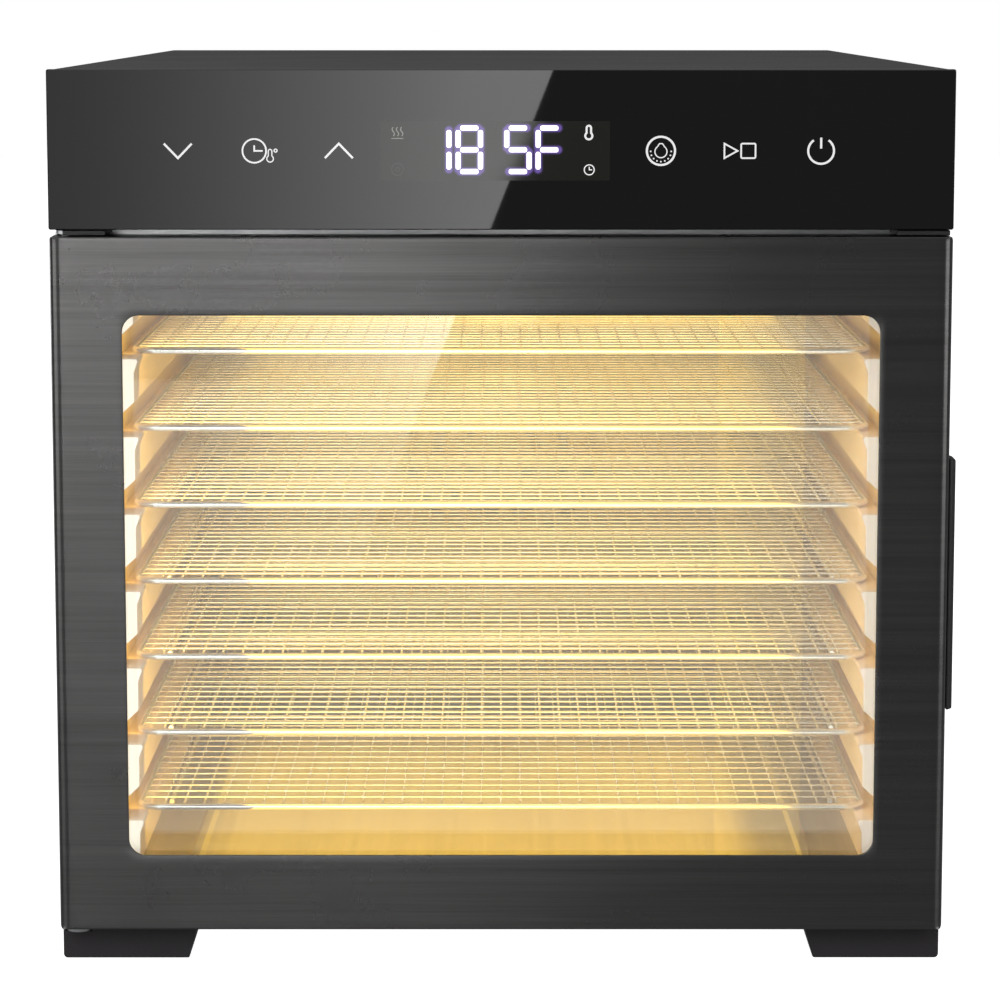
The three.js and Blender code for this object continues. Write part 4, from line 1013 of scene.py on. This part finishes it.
# (finish, slot, edge radius in millimetres, nodes)
roundedNodes = [
    ("powderCoat", "dark_sheet", 0.25, ["outer_shell", "rear_panel"]),
    ("zincPlate", "galvanised", 0.2, ["base_plate"]),
    ("stainlessFace", "stainless", 0.25, ["front_frame"]),
    ("footPlastic", "foot_plastic", 0.9, ["foot_front_left", "foot_front_right", "foot_rear_left",
                                          "foot_rear_right"]),
    ("zincPlate", "galvanised", 0.3, ["upper_hinge_bracket", "lower_hinge_bracket"]),
    ("zincPlate", "galvanised", 0.35, ["upper_hinge_pin", "lower_hinge_pin"]),
    ("blackPlastic", "black_plastic", 0.3, ["corner_cover_left", "corner_cover_right"]),
    ("blackPlastic", "black_plastic", 0.4, ["control_housing"]),
    ("blackPlastic", "display_face", 0.4, ["display_module"]),
    ("circuitBoard", "circuit_board", 0.15, ["control_board"]),
    ("creamPlastic", "cream_plastic", 0.6, ["side_wall_left", "side_wall_right"]),
    ("stainless", "stainless", 0.3, ["cavity_floor"]),
    ("stainless", "stainless", 0.2, ["cavity_ceiling"]),
    ("stainless", "stainless", 0.15, ["air_baffle"]),
    ("zincPlate", "galvanised", 0.2, ["plenum_back", "heater_clip_left", "heater_clip_right"]),
    ("brass", "brass", 0.3, ["thermal_cutout"]),
    ("stainless", "stainless", 0.4, ["temperature_probe"]),
    ("zincPlate", "galvanised", 0.6, ["fan_motor"]),
    ("blackPlastic", "black_plastic", 0.4, ["lamp_base"]),
    ("circuitBoard", "circuit_board", 0.3, ["power_board"]),
    ("zincPlate", "galvanised", 0.2, ["strike_plate"]),
    ("stainless", "stainless", 0.3, ["motor_shaft"]),
    ("zincPlate", "galvanised", 0.2, ["fan_impeller"]),
    ("blackPlastic", "black_plastic", 0.5, ["door_inner_frame"]),
    ("silicone", "silicone", 0.8, ["door_seal"]),
    ("blackPlastic", "black_plastic", 0.7, ["door_pull"]),
    ("magnetCompound", "magnet", 0.3, ["door_magnet"]),
    ("brass", "brass", 0.25, ["upper_hinge_bush", "lower_hinge_bush"]),
]
for finish, slot, radius, nodes in roundedNodes:
    for node in nodes:
        softened(node, radius * mm, finish)
print("CAD pieces finished:", sum(len(nodes) for *_, nodes in roundedNodes))


studioSettings = {
    "worldSeen": 1.0,
    "worldLight": 0.20,
    "floorGlow": 1.0,
    "cardBehind": 1.864,  # card before the front plane
    "cardLow": 0.85,
    "cardRise": 3.1,
    "edgeTop": (18.3 * mm, 349 * mm),  # where the card's edge shows on the glass
    "edgeLow": (-5.7 * mm, 288.1 * mm),
    "cardLeft": -0.75,
    "sideCardLow": 0.33,  # lowest and highest edges of the card that only the brushed door shows
    "sideCardHigh": 0.78,
    "sideCardGlow": 19.0,
    "sideCardRight": 0.32,
    "edgeCardAway": 1.2,
    "edgeCardDepth": (-1.2, -0.3),
    "edgeCardGlow": 2.2,
}


def makeWorld(look):
    # pure white to the camera, a dim grey room to everything else
    world = bpy.data.worlds.new("studio")
    world.use_nodes = True
    scene.world = world
    tree = world.node_tree
    back = tree.nodes["Background"]
    path = addNode(tree, "ShaderNodeLightPath")
    strength = spread(tree, path.outputs["Is Camera Ray"], look["worldLight"], look["worldSeen"])
    feed(tree, back.inputs["Strength"], strength)
    back.inputs["Color"].default_value = (1, 1, 1, 1)


def softLight(name, where, aim, size, power, colour=(1, 1, 1)):
    # an area light the camera does not see, in watts
    lamp = bpy.data.lights.new(name, "AREA")
    lamp.shape = "RECTANGLE"
    lamp.size, lamp.size_y = size
    lamp.energy = power
    lamp.color = colour
    holder = bpy.data.objects.new(name, lamp)
    holder.location = where
    toward = Vector(aim) - Vector(where)
    holder.rotation_euler = toward.to_track_quat("-Z", "Y").to_euler()
    holder.visible_camera = False
    scene.collection.objects.link(holder)


def stageMaterial(name, glow, base, attribute=None):
    material, tree, shader = newMaterial(name)
    shader.inputs["Base Color"].default_value = (*base, 1)
    shader.inputs["Roughness"].default_value = 0.8
    shader.inputs["Emission Strength"].default_value = glow
    shader.inputs["Emission Color"].default_value = (1, 1, 1, 1)
    if attribute:
        carried = addNode(tree, "ShaderNodeAttribute", attribute_name=attribute)
        feed(tree, shader.inputs["Emission Color"], carried.outputs["Color"])
    return material


def stagePiece(name, points, faces, material):
    mesh = bpy.data.meshes.new(name)
    mesh.from_pydata(np.asarray(points).tolist(), [], faces)
    mesh.materials.append(material)
    piece = bpy.data.objects.new(name, mesh)
    scene.collection.objects.link(piece)
    return piece


def paintCard(card, glow):
    # a card only reflections see, its glow at each point held in an attribute
    colours = np.repeat(np.asarray(glow).reshape(-1, 1), 4, axis=1).astype(np.float32)
    card.data.attributes.new("glow", "FLOAT_COLOR", "POINT").data.foreach_set("color", colours.ravel())
    card.visible_camera = False
    card.visible_diffuse = False


def makeFloor(look):
    reach = 6.0
    corners = [(-reach, -reach, 0), (reach, -reach, 0), (reach, reach, 0), (-reach, reach, 0)]
    material = stageMaterial("pale floor", look["floorGlow"], (0.9, 0.9, 0.9))
    floor = stagePiece("floor", corners, [[0, 1, 2, 3]], material)
    floor.visible_glossy = False
    floor.visible_diffuse = False


def makeCard(look):
    # a bright card behind the camera, which shows diagonally on the glass;
    # the front plane's point p mirrors the card's point p + (p - eye) * cardBehind / distance
    eye = np.array([camera.location.x, camera.location.z])
    share = look["cardBehind"] / cameraSettings["distance"]
    shown = lambda flat: np.asarray(flat) + (np.asarray(flat) - eye) * share
    top, low = shown(look["edgeTop"]), shown(look["edgeLow"])
    slope = (top[0] - low[0]) / (top[1] - low[1])
    y = cadBox[0][1] - look["cardBehind"]
    rows = np.array([-0.75, -0.45, -0.2, 0.0, 0.13, 0.34, 0.6])
    fade = np.array([0.02, 0.05, 0.15, 0.6, 1.0, 1.0, 0.0])
    across = np.linspace(0, 1, 41)
    edge = low[0] + slope * (rows - low[1])
    x = look["cardLeft"] + across[None] * (edge[:, None] - look["cardLeft"])
    z = np.repeat(rows[:, None], len(across), axis=1)
    points = np.stack([x, np.full_like(x, y), z], axis=-1).reshape(-1, 3)
    left = shown((cadBox[0][0], 0))[0]
    share = np.clip((x - left) / (low[0] - left), 0, 1)
    glow = (look["cardLow"] + look["cardRise"] * share ** 1.5) * fade[:, None]
    card = stagePiece("reflected_card", points, gridFaces(len(rows), len(across)),
                      stageMaterial("card", 1.0, (0, 0, 0), "glow"))
    paintCard(card, glow)


def makeSideCard(look):
    # a higher card, blurred by the brushed door: glow * (1 - share across)^1.4 * rise from its lower edge
    share = np.linspace(0, 1, 31)
    x = look["cardLeft"] + (look["sideCardRight"] - look["cardLeft"]) * share
    y = cadBox[0][1] - look["cardBehind"]
    rise = np.array([[0.0], [0.3], [1.0]])
    z = look["sideCardLow"] + (look["sideCardHigh"] - look["sideCardLow"]) * rise
    points = np.stack(np.broadcast_arrays(x[None], y, z), axis=-1).reshape(-1, 3)
    card = stagePiece("side_card", points, gridFaces(len(rise), len(share)),
                      stageMaterial("side card", 1.0, (0, 0, 0), "glow"))
    glow = look["sideCardGlow"] * (1 - share) ** 1.4 * np.minimum(rise / 0.3, 1)
    paintCard(card, glow)


def makeEdgeCard(look, side):
    # an upright strip at one side, for the folded edges of the door
    x = side * look["edgeCardAway"]
    near, far = look["edgeCardDepth"]
    corners = [(x, near, 0), (x, far, 0), (x, far, 0.7), (x, near, 0.7)]
    card = stagePiece(f"edge_card_{side}", corners, [[0, 1, 2, 3]],
                      stageMaterial(f"edge card {side}", 1.0, (0, 0, 0), "glow"))
    paintCard(card, np.full(len(corners), look["edgeCardGlow"]))


makeWorld(studioSettings)
makeFloor(studioSettings)
makeCard(studioSettings)
makeSideCard(studioSettings)
for side in (-1, 1):
    makeEdgeCard(studioSettings, side)

# name: (place, aim, size, power)
studioLights = {
    "key_left": ((-1.1, -1.3, 1.1), (0, -0.1, 0.17), (0.9, 0.9), 7),
    "top_soft": ((0, 0.1, 1.7), (0, 0, 0.3), (1.6, 1.6), 6),
    "fill_right": ((1.3, -1.0, 0.8), (0, 0, 0.17), (0.8, 0.8), 4),
    "rear_soft": ((-1.5, 1.5, 0.45), (0, 0.2, 0.17), (0.9, 0.9), 9),
}
for name, (where, aim, size, power) in studioLights.items():
    softLight(name, where, aim, size, power)

cavitySettings = {
    "warm": (1.0, 0.62, 0.05),
    "ceilingDrop": 8 * mm,
    "ceilingPower": 0.15,
    "frontIn": 6 * mm,
    "frontAside": -16 * mm,
    "frontPower": 0.44,
    "floorRise": 17 * mm,
    "floorAside": -10 * mm,
    "floorForward": 60 * mm,
    "floorPower": 0.13,
    "railAside": 147 * mm,
    "railBefore": 3 * mm,
    "railWhite": (0.92, 1.0, 1.0),
    "railPowers": {-1: 0.012, 1: 0.005},
}


def lightCavity(look):
    # warm lamps under the ceiling, behind the door and over the floor; a white strip before each wall
    low, high = boxOf("side_wall_left")
    x, y, z = panelMiddle[0], (low[1] + high[1]) / 2, (low[2] + high[2]) / 2
    softLight("cavity_ceiling_lamp", (x, y, high[2] - look["ceilingDrop"]), (x, y, z), (0.24, 0.16),
              look["ceilingPower"], look["warm"])
    softLight("cavity_front_lamp", (x + look["frontAside"], low[1] + look["frontIn"], z), (x, y, z),
              (0.27, 0.22), look["frontPower"], look["warm"])
    floorX, floorY = x + look["floorAside"], y - look["floorForward"]
    softLight("cavity_floor_lamp", (floorX, floorY, low[2] + look["floorRise"]), (floorX, floorY, 0),
              (0.22, 0.2), look["floorPower"], look["warm"])
    for side, power in look["railPowers"].items():
        railX = x + side * look["railAside"]
        softLight(f"rail_lamp_{side}", (railX, low[1] - look["railBefore"], z), (railX, 0, z),
                  (0.012, 0.22), power, look["railWhite"])


lightCavity(cavitySettings)
scene.view_settings.view_transform = "Standard"
print("studio made")
